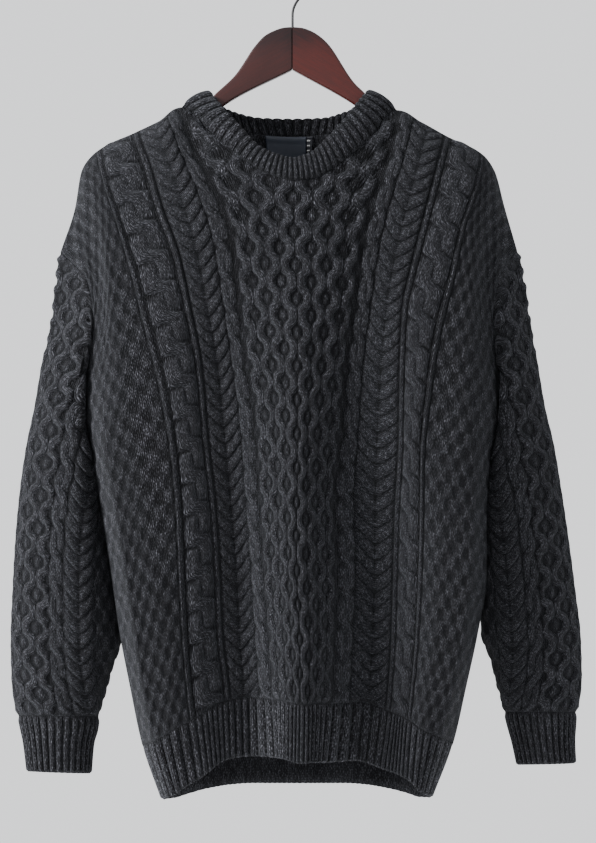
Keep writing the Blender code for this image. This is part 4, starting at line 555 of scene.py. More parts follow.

# Honeycomb: ridges that part round each cell, a low wale up its middle and painted shade at either end, in
# the place of a pit
CELL_TURN = 3.56       # one cell to the next above it
CELL_QUICK = 1.2       # how sharply the ridges swing from one side to the other
CELL_PHASE = 0.1       # share of a cell by which the pattern starts ahead
HONEYCOMB_EDGE = 0.5   # from the outermost ridge's line to the band's edge
RIDGE = 0.52           # half width of a ridge
RIDGE_MEET = 0.42      # from each of two ridges to the line where they meet
WALE_SHARE = 0.42      # height of the wale, as a share of the ridges
WALE_WIDE = 0.3        # its reach across
WALE_LONG = 0.7        # and along
PIT_SHADE_AT = 1.05          # from the cell's middle to its spots of painted shade
PIT_SHADE_WIDE = 0.28        # a spot's reach across
PIT_SHADE_LONG = 0.3         # and along

# Ropes: two strands that cross in turn
ROPE_TURN = 3.38       # one crossing to the next, up the cloth
ROPE_QUICK = 1.5       # how sharply the strands swing from one side to the other
ROPE_PHASE = 0.06      # share of a turn by which the ropes start ahead
LEFT_PHASE = 0.18      # and by which those of the left side are further ahead
STRAND_REACH = 0.24    # from the rope's middle to a strand, as a share of its width
STRAND_HALF = 0.265    # half a strand's width, as a share of the rope's
ROPE_UNDER = 0.75      # share by which a strand sinks as it passes under
ROPE_OVER = 0.1        # and rises as it passes over

# Chevrons, single twisted ribs and moss stitch
CHEVRON_TURN = 1.69    # one lobe to the next
LOBE_RISE = (0.5, 0.55)                        # how the arms rise from the middle: a line and a curve
TWIST_HALF = 0.22      # reach of a twisted rib to either side
MOSS_WIDE = 0.9        # width of a block of moss stitch
MOSS_HIGH = 1.45       # and its height
MOSS_SHARP = 2.6       # how squarely the blocks stand

# A strand's key is its band, its side of the body and its place in the band
BAND_KEY = 1000
SIDE_KEY = 500
LOBE_KEY = 20          # added to a chevron's lobes, whose count may start below 0

# Grid of the fine cloth: spans across and along, and how many of them one inside face takes
PANEL_SPANS = (264, 312)
PANEL_LOW = 0.64       # share of a panel's rows below the armpit
SLEEVE_SPANS = (160, 288)
SLEEVE_CLOSE = 1.1     # draws the rows together towards the armhole
RIB_POINTS = 8         # points across one rib
RIB_ROUND = 0.8        # how round a rib's section is, 1 being a plain wave
RIB_ROWS = 29          # rows up a hem or down a cuff
NECK_ROWS = 36         # rows round the section of the neckband
INSIDE_STEP = 4
SEAM_HIGH = 0.1        # height at a seam, the same on both its sides
NECK_TUCK = 0.12       # how far the neckband reaches down over the seam
NECK_DRAWN = 0.35      # share by which its ribs draw together towards the shoulders
NECK_HALF = 0.19       # half its thickness
NECK_SQUARE = 0.6      # how square its section is, 1 being an ellipse
NECK_SWELL = 0.20      # how far it swells outwards in the middle of its height
NECK_CREST = 0.45      # share of a rib's height that shows on its crest
EDGE_ROUND = 0.28      # how far in from a free edge the wall starts to round
EDGE_THIN = 0.15       # share of its thickness that the wall keeps at the edge

# How exposed a point of the cloth is, from 0 to 1, which paints shade into the wool's colour in its
# creases
BLUR_ROUNDS = 3        # rounds of evening out that give the height around a point
CREASE_CM = 0.16       # height above what lies around that exposes a point fully, in cm
HIGH_CM = 0.9          # and height above the middle height that does, in cm
MID_HIGH = 0.15
# how far the painted shade at the honeycomb's pits lowers a point's exposure
PIT_SHADE_DARK = 0.8
INSIDE_SHADE = 0.6     # how exposed the plain inside counts as, for its painted shade

# How far from a seam the pattern reaches its full height, in cm
HEM_FADE = 0.7
TOP_FADE = 0.6
RIB_FADE = 0.5
HOLE_FADE = 0.8

# Where a sleeve leaves its armhole, as shares of its length
SET_IN = 0.3           # over which its section turns from the armhole's line to its own
HOLE_TURN = 0.03       # over which it turns from the armhole's facing to its own
SEAM_KEEP = 0.02       # over which its outer and inner lines leave the plane of the seams
SLEEVE_THIN = ((0, 0.02, 0.04), (0.9, 0.8, 1.0))   # and its wall's thickness there, as a share of its own
LEVEL_END = np.array([1.0, 1.0, 0.0])          # keeps a facing level where sleeve and cuff meet

# Stage: the camera stands at the viewpoint and the lights face the middle of the sweater, in metres
FRAME_HIGH = 90.65     # height of the photograph's frame at the hanger, in cm
FLOOR_SIZE = 2.8
FLOOR_Z = -1.3
AIR_STRENGTH = 1.45
LIT_PLACE = (0.0, 0.0, -0.5)
LIGHTS = (
    # name          place              size  power
    ("window_light", (-2.6, -1.3, 0.5), 1.0, 300.0),
    ("fill_light", (1.8, -1.9, -0.2), 1.6, 5.0),
)

# Wool
LEG_LEAN = 1.7         # how far a stitch's legs rise across half its width, in stitches
PLY_TURN = 3.3         # turn of the plies across half a leg, in radians
FLECK = (4.4, 0.9)     # flecks to a stitch, across and along
FUZZ = 1400.0          # hairs to a metre

ARM_POINTS = 97        # points round the outline of one half of the hanger
LABEL_SPANS = (24, 32)                         # spans up and across the label


def dome(v):
    """Round section of a strand: 1 on its crest, 0 past its edge."""
    return np.sqrt(np.clip(1 - v * v, 0, 1))


def strand(x, t, centre, slope, radius, high):
    """Height, across and along of points near a strand whose centre line is given at each t."""
    lean = 1 / np.sqrt(1 + slope * slope)
    across = (x - centre) * lean
    return high * dome(across / radius), across, t + (x - centre) * slope * lean * lean


def crossing(turn, quick):
    """Swing between -1 and 1 once each turn and its rate, held near both ends when quick is large."""
    wave = np.tanh(quick * np.cos(turn)) / math.tanh(quick)
    rate = -quick * np.sin(turn) / np.cosh(quick * np.cos(turn)) ** 2 / math.tanh(quick)
    return wave, rate


def honeycomb(s, t, half, cells, high):
    """Ridges that part and meet in turn round rows of cells, with a wale up the middle of each cell and
    painted shade at either end of it.
    """
    edge = half - HONEYCOMB_EDGE
    step = 2 * edge / cells
    swing = 0.5 * step - RIDGE_MEET
    place = t / CELL_TURN + CELL_PHASE
    wave, rate = crossing(2 * math.pi * place, CELL_QUICK)
    column = np.clip(np.floor((s + edge) / step), 0, cells - 1)
    dx = s + edge - (column + 0.5) * step
    dt = (np.mod(place + 0.5 - 0.5 * (column % 2 == 0), 1) - 0.5) * CELL_TURN
    wale = WALE_SHARE * high * np.exp(-(dx / WALE_WIDE) ** 2 - (dt / WALE_LONG) ** 2) + 1e-4
    layers = [(wale, s, t)]
    for ridge in range(cells + 1):
        sign = -1 if ridge % 2 else 1
        centre = -edge + ridge * step + sign * swing * wave
        slope = sign * swing * rate * 2 * math.pi / CELL_TURN
        layers.append(strand(s, t, centre, slope, RIDGE, high))
    # Spots of painted shade at either end of each cell, with no relief of their own
    pit_shade = np.exp(-((np.abs(dt) - PIT_SHADE_AT) / PIT_SHADE_LONG) ** 2 - (dx / PIT_SHADE_WIDE) ** 2)
    return layers, pit_shade


def rope(x, t, low, high, side, raised):
    """Two strands that cross once each turn, the one that leans left always in front."""
    middle, wide = 0.5 * (low + high), high - low
    reach, radius = STRAND_REACH * wide, STRAND_HALF * wide
    place = t / ROPE_TURN + ROPE_PHASE + np.where(side < 0, LEFT_PHASE, 0)
    wave, rate = crossing(math.pi * place, ROPE_QUICK)
    layers = []
    for sign in (1, -1):
        slope = sign * reach * rate * math.pi / ROPE_TURN
        cross = side * slope / (reach * ROPE_QUICK * math.pi / ROPE_TURN)
        h, across, along = strand(x, t, middle + sign * reach * wave, slope, radius, raised)
        share = 0.9 - ROPE_UNDER * np.clip(cross, 0, 1) + ROPE_OVER * np.clip(-cross, 0, 1)
        layers.append((h * share, across, along))
    return layers


def chevron(x, t, low, high, raised, lobe=None):
    """Stacked lobes whose arms rise both ways from the middle of the band, each over the next above."""
    middle, half = 0.5 * (low + high), 0.5 * (high - low)
    off = np.abs(x - middle)
    a = off / half
    line, curve = LOBE_RISE
    place = (t - half * (line * a + curve * a * a)) / CHEVRON_TURN
    k = np.floor(place) if lobe is None else lobe
    f = place - k
    lean = 1 / np.sqrt(1 + (line + 2 * curve * a) ** 2)
    ends = dome(np.clip(a, 0, 1) ** 3) * (0.5 + 0.5 * np.clip(a / 0.25, 0, 1))
    shingle = dome(np.clip(f, 0, 1) * 0.97) * np.clip(f / 0.16, 0, 1) ** 0.5
    return raised * shingle * ends, (f - 0.5) * CHEVRON_TURN * lean, off / lean, k


def twist(x, t, low, high, raised):
    """One twisted rib up the middle of its channel."""
    off = x - 0.5 * (low + high)
    return raised * np.exp(-(off / TWIST_HALF) ** 2), off + 0.5 * STITCH, t


def moss(x, t, raised):
    """Soft blocks of raised and sunk stitches in turn."""
    wave = np.sin(math.pi * x / MOSS_WIDE) * np.sin(math.pi * t / MOSS_HIGH)
    return raised * (0.55 + 0.45 * np.tanh(MOSS_SHARP * wave)), x, t


def knit(s, t, bands, key=None):
    """Height above the sunk stitches, stitch coordinates, strand and painted pit shade of points of the
    flat cloth.

    With a key the stitch coordinates follow the strand it names, so each face keeps to one strand.
    """
    sizes = bpy.context.scene.sweater_knit
    side = np.where(s < 0 if key is None else key % BAND_KEY >= SIDE_KEY, -1.0, 1.0)
    x = side * s
    edges = [row[0] for row in bands[1:]]
    band = np.searchsorted(edges, x, side="right") if key is None else key // BAND_KEY
    height, u, v, pit_shade = (np.zeros(s.shape) for _ in range(4))
    made = np.zeros(s.shape, int)
    for i, (low, high, kind, cells) in enumerate(bands):
        here = band == i
        if not here.any():
            continue
        sx, xx, tt, sd = s[here], x[here], t[here], side[here]
        want = None if key is None else key[here] % SIDE_KEY
        pick = np.zeros(len(tt), int)
        if kind in ("honeycomb", "rope"):
            if kind == "honeycomb":
                layers, pit_shade[here] = honeycomb(sx, tt, high, cells, sizes.honeycomb_high / CM)
            else:
                raised = sizes.rope_high / CM * min(1.0, 0.45 + 0.15 * (high - low))
                layers = rope(xx, tt, low, high, sd, raised)
            stack = np.array(layers)
            pick = stack[:, 0].argmax(axis=0) if want is None else want
            h, across, along = stack[pick, :, np.arange(len(tt))].T
        elif kind == "chevron":
            lobe = None if want is None else want - float(LOBE_KEY)
            h, across, along, k = chevron(xx, tt, low, high, sizes.chevron_high / CM, lobe)
            pick = (k + LOBE_KEY).astype(int)
        elif kind == "twist":
            h, across, along = twist(xx, tt, low, high, sizes.twist_high / CM)
        elif kind == "moss":
            h, across, along = moss(xx, tt, sizes.moss_high / CM)
        else:
            h, across, along = np.zeros(len(tt)), xx, tt
        height[here] = h
        # Each band and strand starts at a stitch of its own, so that no two share their marl
        u[here] = across / STITCH + 40 * (i + 1) + 11 * (pick % 7)
        v[here] = along / COURSE
        made[here] = BAND_KEY * i + np.where(sd < 0, SIDE_KEY, 0) + pick
    return height, u, v, made, pit_shade


def rib_depth(height):
    """How exposed each point of a rib is, from 0 in its groove to 1 along its crest, which paints shade
    into its grooves.
    """
    return np.clip(height / height.max(), 0, 1) ** 1.5


def cavity(height, pit_shade=0.0):
    """How exposed each point is, from 0 in a crease to 1 on a crest; it darkens the wool's colour as
    painted shade.
    """
    near = height
    for axis in (0, 1):
        for _ in range(BLUR_ROUNDS):
            padded = np.concatenate([near.take([0], axis), near, near.take([-1], axis)], axis=axis)
            count = near.shape[axis]
            near = (padded.take(range(0, count), axis) + 2 * near
                    + padded.take(range(2, count + 2), axis)) / 4
    above = (height - near) / CREASE_CM
    return np.clip(0.5 + above + (height - MID_HIGH) / HIGH_CM - PIT_SHADE_DARK * pit_shade, 0, 1)


def corners(a, wrap=False):
    """The four corner values of each face of a grid, in the order of its face."""
    b = np.concatenate([a, a[:, :1]], axis=1) if wrap else a
    return np.stack([b[:-1, :-1], b[:-1, 1:], b[1:, 1:], b[1:, :-1]], axis=2)


def face_stitches(s, t, bands, wrap=False):
    """Stitch coordinates of each face corner, each face following the strand at its middle."""
    cs, ct = corners(s, wrap), corners(t, wrap)
    if wrap:
        # The face that closes the tube would run back across it, so it keeps to its first side
        back = cs[:, :, 1] - cs[:, :, 0] < -5
        for corner, beside in ((1, 0), (2, 3)):
            cs[:, :, corner] = np.where(back, cs[:, :, beside], cs[:, :, corner])
    key = knit(cs.mean(axis=2), ct.mean(axis=2), bands)[3]
    u, v = knit(cs, ct, bands, np.repeat(key[:, :, None], 4, axis=2))[1:3]
    return np.stack([u, v], axis=-1)


def plain_stitches(u, v, wrap=False):
    """Stitch coordinates of each face corner straight from a grid."""
    cu, cv = corners(u, wrap), corners(v, wrap)
    if wrap:
        # The face that closes the tube runs on from its first side
        turn = cu[:, :, 1] < cu[:, :, 0] - 1
        for corner, beside in ((1, 0), (2, 3)):
            cu[:, :, corner] = np.where(turn, cu[:, :, beside] + 1 / RIB_POINTS, cu[:, :, corner])
    return np.stack([cu, cv], axis=-1)


def grid_faces(rows, cols, start, wrap, turned):
    """Corner numbers of a grid's faces, turned round for a grid that faces the other way."""
    index = start + np.arange(rows * cols).reshape(rows, cols)
    quads = corners(index, wrap).reshape(-1, 4)
    return index, quads[:, ::-1] if turned else quads


def cloth(name, outer, inner, stitches, depth, wrap=False, turned=False, finish=None):
    """A closed cloth wall between a fine outer grid and a coarse inner one."""
    rows, cols = outer.shape[:2]
    oi, outside = grid_faces(rows, cols, 0, wrap, turned)
    ii, inside = grid_faces(*inner.shape[:2], rows * cols, wrap, not turned)
    faces = outside.tolist() + inside.tolist()
    faces += rim(oi[0], ii[0], wrap, turned)
    faces += rim(oi[-1], ii[-1], wrap, not turned)
    if not wrap:
        faces += rim(oi[:, 0], ii[:, 0], False, not turned)
        faces += rim(oi[:, -1], ii[:, -1], False, turned)
    points = np.concatenate([outer.reshape(-1, 3), inner.reshape(-1, 3)])
    corner_stitches = stitches[:, :, ::-1] if turned else stitches
    # Painted shade: the outside's exposure, and a fixed share for the plain inside
    shade = np.concatenate([depth.ravel(), np.full(ii.size, INSIDE_SHADE)])
    return piece(name, points, faces, corner_stitches.reshape(-1, 2), shade, finish)


def piece(name, points, faces, stitches, depth, finish=None):
    """A smooth piece with stitch coordinates for its first corners; the plain inside takes its own."""
    mesh = bpy.data.meshes.new(name)
    mesh.from_pydata(points.tolist(), [], faces)
    loop_verts = np.zeros(len(mesh.loops), np.int32)
    mesh.loops.foreach_get("vertex_index", loop_verts)
    plain = points[loop_verts[len(stitches):]] / CM
    inside = np.stack([plain[:, 0] / STITCH, plain[:, 2] / COURSE], axis=-1)
    coords = np.concatenate([stitches, inside]).astype(np.float32)
    mesh.uv_layers.new(name="knit").data.foreach_set("uv", coords.ravel())
    # The depth attribute carries painted shade, which darkens the wool in creases, grooves and pits
    shade = mesh.attributes.new("depth", "FLOAT", "POINT")
    shade.data.foreach_set("value", depth.astype(np.float32))
    mesh.polygons.foreach_set("use_smooth", np.ones(len(mesh.polygons), bool))
    ob = bpy.data.objects.new(name, mesh)
    bpy.context.scene.collection.objects.link(ob)
    ob.data.materials.append(finish or wool())
    return ob


def stands_for(ob, node):
    """Attach a finished piece to the root and hide the frame's solid for the node that it shows."""
    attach(ob, "root")
    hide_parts(node)


def hang(ob, node):
    """Attach a finished cloth piece to the root and hide the frame's solid that it stands for."""
    stands_for(ob, node)


def rim(fine, coarse, wrap, flip):
    """Faces that close the wall along a border, one for each coarse span."""
    faces = []
    for j in range(len(coarse) if wrap else len(coarse) - 1):
        run = [int(fine[(j * INSIDE_STEP + k) % len(fine)]) for k in range(INSIDE_STEP + 1)]
        face = run + [int(coarse[(j + 1) % len(coarse)]), int(coarse[j])]
        faces.append(face if flip else face[::-1])
    return faces


def rounded(outer, inner, along):
    """Both faces of a wall drawn together near a free edge, as a cast-on edge is round."""
    near = np.clip(along / EDGE_ROUND, 0, 1)
    keep = (np.sqrt(1 - (1 - near) ** 2) * (1 - EDGE_THIN) + EDGE_THIN)[..., None]
    middle = 0.5 * (outer + inner)
    return middle + (outer - middle) * keep, middle + (inner - middle) * keep


def faded(height, *edges):
    """Heights brought to the seams' own height near each edge, given as a distance and its reach."""
    fade = 1.0
    for distance, reach in edges:
        fade = fade * np.clip(distance / reach, 0, 1)
    return height * fade + SEAM_HIGH * (1 - fade), fade


def lengths(points, axis=0):
    """Distance run along a grid's lines, in cm."""
    steps = np.linalg.norm(np.diff(points, axis=axis), axis=-1) / CM
    zero = np.zeros_like(np.take(steps, [0], axis=axis))
    return np.concatenate([zero, np.cumsum(steps, axis=axis)], axis=axis)


def surface_normals(points, wrap=False):
    """Facing of each grid point from its neighbours."""
    du = np.gradient(points, axis=0)
    if wrap:
        dv = np.roll(points, -1, axis=1) - np.roll(points, 1, axis=1)
    else:
        dv = np.gradient(points, axis=1)
    return unit(np.cross(dv, du))


def patterned(name, points, normals, flat, bands, edges, thin=1.0, wrap=False, turned=False):
    """A wall knitted in bands of cables over its points, flat being their places on the flat cloth."""
    height, _, _, _, pit_shade = knit(*flat, bands)
    height = faded(height, *edges)[0]
    outer = points + normals * ((height - SINK) * CM)[..., None]
    inner = (points - normals * (WALL + SINK) * CM * thin)[::INSIDE_STEP, ::INSIDE_STEP]
    return cloth(name, outer, inner, face_stitches(*flat, bands, wrap), cavity(height, pit_shade),
                 wrap=wrap, turned=turned)


def ribbed(name, points, normals, ribs, edge_first, wrap=False, turned=False):
    """A wall in knit-one purl-one rib, plain at its seam and round at its free edge."""
    t = lengths(points)
    rest = t[-1][None] - t
    seam, edge = (rest, t) if edge_first else (t, rest)
    ribs = np.repeat(ribs[None], len(t), axis=0)
    height, fade = faded(rib_height(ribs), (seam, RIB_FADE))
    outer = points + normals * ((height - SINK) * CM)[..., None]
    purl = rib_height(ribs + 0.5) * fade
    inner = points - normals * ((WALL + SINK + purl) * CM)[..., None]
    outer, inner = rounded(outer, inner, edge)
    return cloth(name, outer, inner[::INSIDE_STEP, ::INSIDE_STEP],
                 plain_stitches(2 * ribs, t / COURSE, wrap), rib_depth(height),
                 wrap=wrap, turned=turned)


def fine_panel(which):
    """A body panel above its hem rib, knitted in the body's pattern."""
    across = np.linspace(-FLAT_ACROSS[-1], FLAT_ACROSS[-1], PANEL_SPANS[0] + 1)
    at = np.sign(across) * np.interp(np.abs(across), FLAT_ACROSS, FLAT_PLACES)
    low = int(PANEL_SPANS[1] * PANEL_LOW)
    levels = np.concatenate([np.linspace(RIB_TOP, ARMPIT, low + 1),
                             np.linspace(ARMPIT, 1, PANEL_SPANS[1] - low + 1)[1:]])
    points, normals = panel_normals(which, at, levels)
    t = lengths(points)
    s = np.repeat(across[None], len(levels), axis=0)
    edges = ((t, HEM_FADE), (t[-1][None] - t, TOP_FADE), (FLAT_ACROSS[-1] - np.abs(s), TOP_FADE))
    ob = patterned("knit_" + which, points, normals, (s, t), BODY_BANDS, edges, turned=which == "back")
    hang(ob, which)


def fine_hem(which):
    """The ribbed hem of the front or back."""
    spans = HEM_RIBS * RIB_POINTS
    at = np.linspace(-4, 4, spans + 1)
    points, normals = panel_normals(which, at, np.linspace(0, RIB_TOP, RIB_ROWS))
    ribs = np.arange(spans + 1) / RIB_POINTS
    ob = ribbed("knit_hem_" + which, points, normals, ribs, edge_first=True, turned=which == "back")
    hang(ob, "hem_rib_" + which)


def rib_height(turn):
    """Height of a rib above its groove, by the number of ribs from the edge."""
    high = bpy.context.scene.sweater_knit.rib_high / CM
    return high * np.abs(np.sin(math.pi * turn)) ** RIB_ROUND


def ring(table, share, turn, flat=False):
    """Points of a tube by share of its length and turn, 0 at its outer line, 0.5 the inner."""
    table = np.array(table)
    row = smooth(table[:, 0], table[:, 1:], share)
    a = turn[None, :] * 2 * math.pi
    ox, oz, ix, iz, fy, by = (row[:, k][:, None] for k in range(6))
    c = 0.5 * (1 + np.cos(a))
    x = ix + (ox - ix) * c
    z = iz + (oz - iz) * c
    y = 0.5 * (fy + by) - 0.5 * (by - fy) * np.sin(a)
    if not flat:
        keep = np.exp(-(share[:, None] / SEAM_KEEP) ** 2)
        y = y + (SEAM_Y - 0.5 * (fy + by)) * keep * np.abs(np.cos(a)) ** 3
    return seen(np.stack([x, z, y], axis=-1))


def armhole(side, turn):
    """The armhole's line on the body at each turn, front then back."""
    low = np.minimum(turn, 1 - turn)
    level = 1 - 2 * low * (1 - ARMPIT)
    out = np.zeros((len(turn), 3))
    for i, (t, w) in enumerate(zip(turn, level)):
        which = "front" if t <= 0.5 else "back"
        out[i] = panel(which, [side * 4.0], [w])[0, 0]
    return out


def fine_sleeve(name, node, table, side):
    """A sleeve from the dropped armhole to its cuff, the honeycomb down its outer line."""
    turn = np.arange(SLEEVE_SPANS[0]) / SLEEVE_SPANS[0]
    share = np.linspace(0, 1, SLEEVE_SPANS[1] + 1) ** SLEEVE_CLOSE
    points = ring(table, share, turn)
    # The upper end leaves the armhole's own line bit by bit
    start = armhole(side, turn)
    own = eased(share / SET_IN)[:, None, None]
    points = start[None] + (points - points[:1]) * (1 - own) + (points - start[None]) * own
    # Cloth bunches outwards under the arm, ahead of the seam and behind it
    quick = (share / KICK_AT * np.exp(1 - share / KICK_AT))[:, None] * CM
    ahead, behind = (np.exp(-((turn - at) / KICK_WIDE) ** 2)[None] for at in KICK_TURNS)
    points[:, :, 0] += side * quick * KICK * (ahead + KICK_BEHIND * behind)
    points[:, :, 1] += quick * KICK * KICK_BACK * behind
    normals = surface_normals(points, wrap=True) * side
    blend = np.exp(-share / HOLE_TURN)[:, None, None]
    normals = unit(normals * (1 - blend) + hole_normal(turn, side)[None] * blend)
    normals[-1] = unit(normals[-1] * LEVEL_END)
    down = lengths(points)
    edges = ((down, HOLE_FADE), (down[-1][None] - down, TOP_FADE))
    thin = np.interp(share, *SLEEVE_THIN)[:, None, None]
    ob = patterned(name, points, normals, sleeve_flat(points), SLEEVE_BANDS, edges, thin,
                   wrap=True, turned=side < 0)
    hang(ob, node)


def sleeve_flat(points):
    """Cut width from the outer line and height above the cuff for each point of a sleeve."""
    count = points.shape[1]
    axis = unit(points[0, 0] - points[-1, 0])
    loop = np.concatenate([points, points[:, :1]], axis=1) / CM
    steps = np.diff(loop, axis=1)
    along = steps @ axis
    across = np.sqrt(np.clip((steps ** 2).sum(axis=-1) - along ** 2, 0, None))
    half = count // 2
    outer_line = lengths(points[::-1, :1])[::-1]
    s = np.zeros(points.shape[:2])
    t = np.zeros(points.shape[:2])
    s[:, 1:half + 1] = np.cumsum(across[:, :half], axis=1)
    t[:, 1:half + 1] = np.cumsum(along[:, :half], axis=1)
    back_s = np.cumsum(across[:, :half - 1:-1], axis=1)
    back_t = np.cumsum(-along[:, :half - 1:-1], axis=1)
    s[:, half + 1:] = -back_s[:, :count - half - 1][:, ::-1]
    t[:, half + 1:] = back_t[:, :count - half - 1][:, ::-1]
    return s, t + outer_line


def fine_cuff(name, node, table, side):
    """A ribbed cuff."""
    turn = np.arange(CUFF_RIBS * RIB_POINTS) / (CUFF_RIBS * RIB_POINTS)
    points = ring(table, np.linspace(0, 1, RIB_ROWS), turn, flat=True)
    normals = surface_normals(points, wrap=True) * side
    normals[0] = unit(normals[0] * LEVEL_END)
    ob = ribbed(name, points, normals, turn * CUFF_RIBS, edge_first=False, wrap=True, turned=side < 0)
    hang(ob, node)


def neck_places(ribs):
    """Places across the neck of one half of the band, closer together towards the shoulders."""
    count = ribs * RIB_POINTS + 1
    drawn = -np.cos(np.linspace(0, math.pi, count))
    return drawn * NECK_DRAWN + np.linspace(-1, 1, count) * (1 - NECK_DRAWN)


def neck_loop():
    """Seam line, crest line and facing of the neckband, round from the left by the front."""
    q_front = neck_places(NECK_RIBS[0])
    q_back = neck_places(NECK_RIBS[1])[::-1][1:-1]
    seam, facing, crest = [], [], []
    for which, q, table in (("front", q_front, CREST_FRONT), ("back", q_back, CREST_BACK)):
        points, normals = panel_normals(which, q, np.array([0.99, 1.0]))
        seam.append(points[-1])
        facing.append(normals[-1])
        table = np.array(table)
        crest.append(seen(smooth(table[:, 0], table[:, 1:], q)))
    return [np.concatenate(part) for part in (seam, crest, facing)]


def fine_neckband():
    """The doubled neckband: one ribbed band folded over its crest."""
    seam, crest, facing = neck_loop()
    count = len(seam)
    along = np.roll(seam + crest, -1, axis=0) - np.roll(seam + crest, 1, axis=0)
    out = unit(np.cross(along, crest - seam))
    out = out * np.sign(np.sum(out * (seam - seam.mean(axis=0)), axis=1, keepdims=True))
    for _ in range(4 * RIB_POINTS):
        out = unit(out + np.roll(out, 1, axis=0) + np.roll(out, -1, axis=0))
        facing = unit(facing + np.roll(facing, 1, axis=0) + np.roll(facing, -1, axis=0))
    seam = seam - unit(crest - seam) * NECK_TUCK * CM
    up = crest - seam
    # Round the section: up the outer face from the seam, over the crest and down the inner face
    around = np.linspace(0, 2 * math.pi, NECK_ROWS + 1)[:-1]
    share = (1 - np.cos(around)) / 2
    bulge = np.sign(np.sin(around)) * np.abs(np.sin(around)) ** NECK_SQUARE
    swell = NECK_SWELL * np.sin(math.pi * share)
    ribs = np.arange(count) / RIB_POINTS
    rise = rib_height(ribs)[None]
    height = rise * np.abs(bulge)[:, None]
    off = bulge[:, None] * NECK_HALF + swell[:, None] + np.sign(bulge)[:, None] * (height - 0.06) * 0.8
    base = np.clip(1 - share * 3, 0, 1)[:, None, None]
    facing = unit(out[None] * (1 - 0.5 * base) + facing[None] * 0.5 * base)
    over = NECK_CREST * rise * np.clip(2 * share - 1, 0, 1)[:, None] ** 2 * (1 - np.abs(bulge))[:, None]
    points = seam[None] + up[None] * share[:, None, None] + facing * (off * CM)[..., None]
    points = points + unit(up)[None] * (over * CM)[..., None]
    t = lengths(np.concatenate([points, points[:1]]))
    index = np.arange(NECK_ROWS * count).reshape(NECK_ROWS, count)
    quads = corners(np.concatenate([index, index[:1]]), True).reshape(-1, 4)
    turn = np.repeat(ribs[None], NECK_ROWS + 1, axis=0)
    stitches = plain_stitches(2 * turn, t / COURSE, True).reshape(-1, 2)
    ob = piece("knit_neckband", points.reshape(-1, 3), quads.tolist(), stitches,
               rib_depth(height + over).ravel())
    hang(ob, "neckband")


def start_shaping():
    """Nothing selected, so that an operator acts on the new piece alone."""
    bpy.ops.object.select_all(action="DESELECT")


def select_rims(ob):
    """Select the edges round both faces of a hanger half, apart from those at its joint."""
    verts = ob.data.vertices
    for edge in ob.data.edges:
        a, b = (verts[i].co for i in edge.vertices)
        same_face = abs(a.y - b.y) < 1e-5
        at_joint = max(abs(a.x), abs(b.x)) < 4e-4
        edge.select = same_face and not at_joint


def hanger_half(name, node, outline, side):
    """One half of the hanger: its outline filled, given its thickness and a rounded edge."""
    line = np.array(outline)
    line[[0, -1], 0] = 0.0
    run = np.concatenate([[0], np.cumsum(np.hypot(*np.diff(line, axis=0).T))])
    line = smooth(run, line, np.linspace(0, run[-1], ARM_POINTS))
    world = seen(np.insert(line, 2, SEAM_Y, axis=1))
    half = 0.5 * ARM_THICK * CM
    start_shaping()
    bpy.ops.mesh.primitive_circle_add(vertices=ARM_POINTS, radius=0.1, location=(0, 0, 0))
    ob = bpy.context.object
    ob.name = ob.data.name = name
    for vertex, point in zip(ob.data.vertices, world):
        vertex.co = (point[0], -half, point[2])
    bpy.ops.object.mode_set(mode="EDIT")
    bpy.ops.mesh.select_all(action="SELECT")
    bpy.ops.mesh.edge_face_add()
    bpy.ops.mesh.extrude_region_move(TRANSFORM_OT_translate={"value": (0, 2 * half, 0)})
    bpy.ops.mesh.select_all(action="SELECT")
    bpy.ops.mesh.normals_make_consistent(inside=False)
    bpy.ops.mesh.select_all(action="DESELECT")
    bpy.ops.object.mode_set(mode="OBJECT")
    select_rims(ob)
    bpy.ops.object.mode_set(mode="EDIT")
    bpy.ops.mesh.select_mode(type="EDGE")
    bpy.ops.mesh.bevel(offset=ARM_ROUND * CM, segments=4, profile=0.5, affect="EDGES", clamp_overlap=True)
    bpy.ops.object.mode_set(mode="OBJECT")
    bpy.ops.object.shade_smooth_by_angle(angle=math.radians(35))
    ob.data.materials.append(varnished_wood(name, side))
    stands_for(ob, node)


def wire_hook():
    """The hanger's hook: one bent wire, set into the wood."""
    start_shaping()
    bpy.ops.curve.primitive_bezier_curve_add(location=(0, 0, 0))
    ob = bpy.context.object
    spline = ob.data.splines[0]
    spline.bezier_points.add(len(HOOK_LINE) - 2)
    for point, (x, z) in zip(spline.bezier_points, HOOK_LINE):
        point.co = (x * CM, 0, z * CM)
        point.handle_left_type = "AUTO"
        point.handle_right_type = "AUTO"
    spline.bezier_points[0].co.z = HOOK_SET * CM
    ob.data.resolution_u = 8
    ob.data.bevel_depth = HOOK_RADIUS * CM
    ob.data.bevel_resolution = 4
    ob.data.use_fill_caps = True
    bpy.ops.object.convert(target="MESH")
    ob = bpy.context.object
    ob.name = ob.data.name = "wire_hook"
    bpy.ops.object.mode_set(mode="EDIT")
    bpy.ops.mesh.select_all(action="SELECT")
    bpy.ops.mesh.remove_doubles(threshold=1e-6)
    bpy.ops.mesh.normals_make_consistent(inside=False)
    bpy.ops.object.mode_set(mode="OBJECT")
    bpy.ops.object.shade_smooth_by_angle(angle=math.radians(50))
    ob.data.materials.clear()
    ob.data.materials.append(dark_wire())
    stands_for(ob, "hanger_hook")


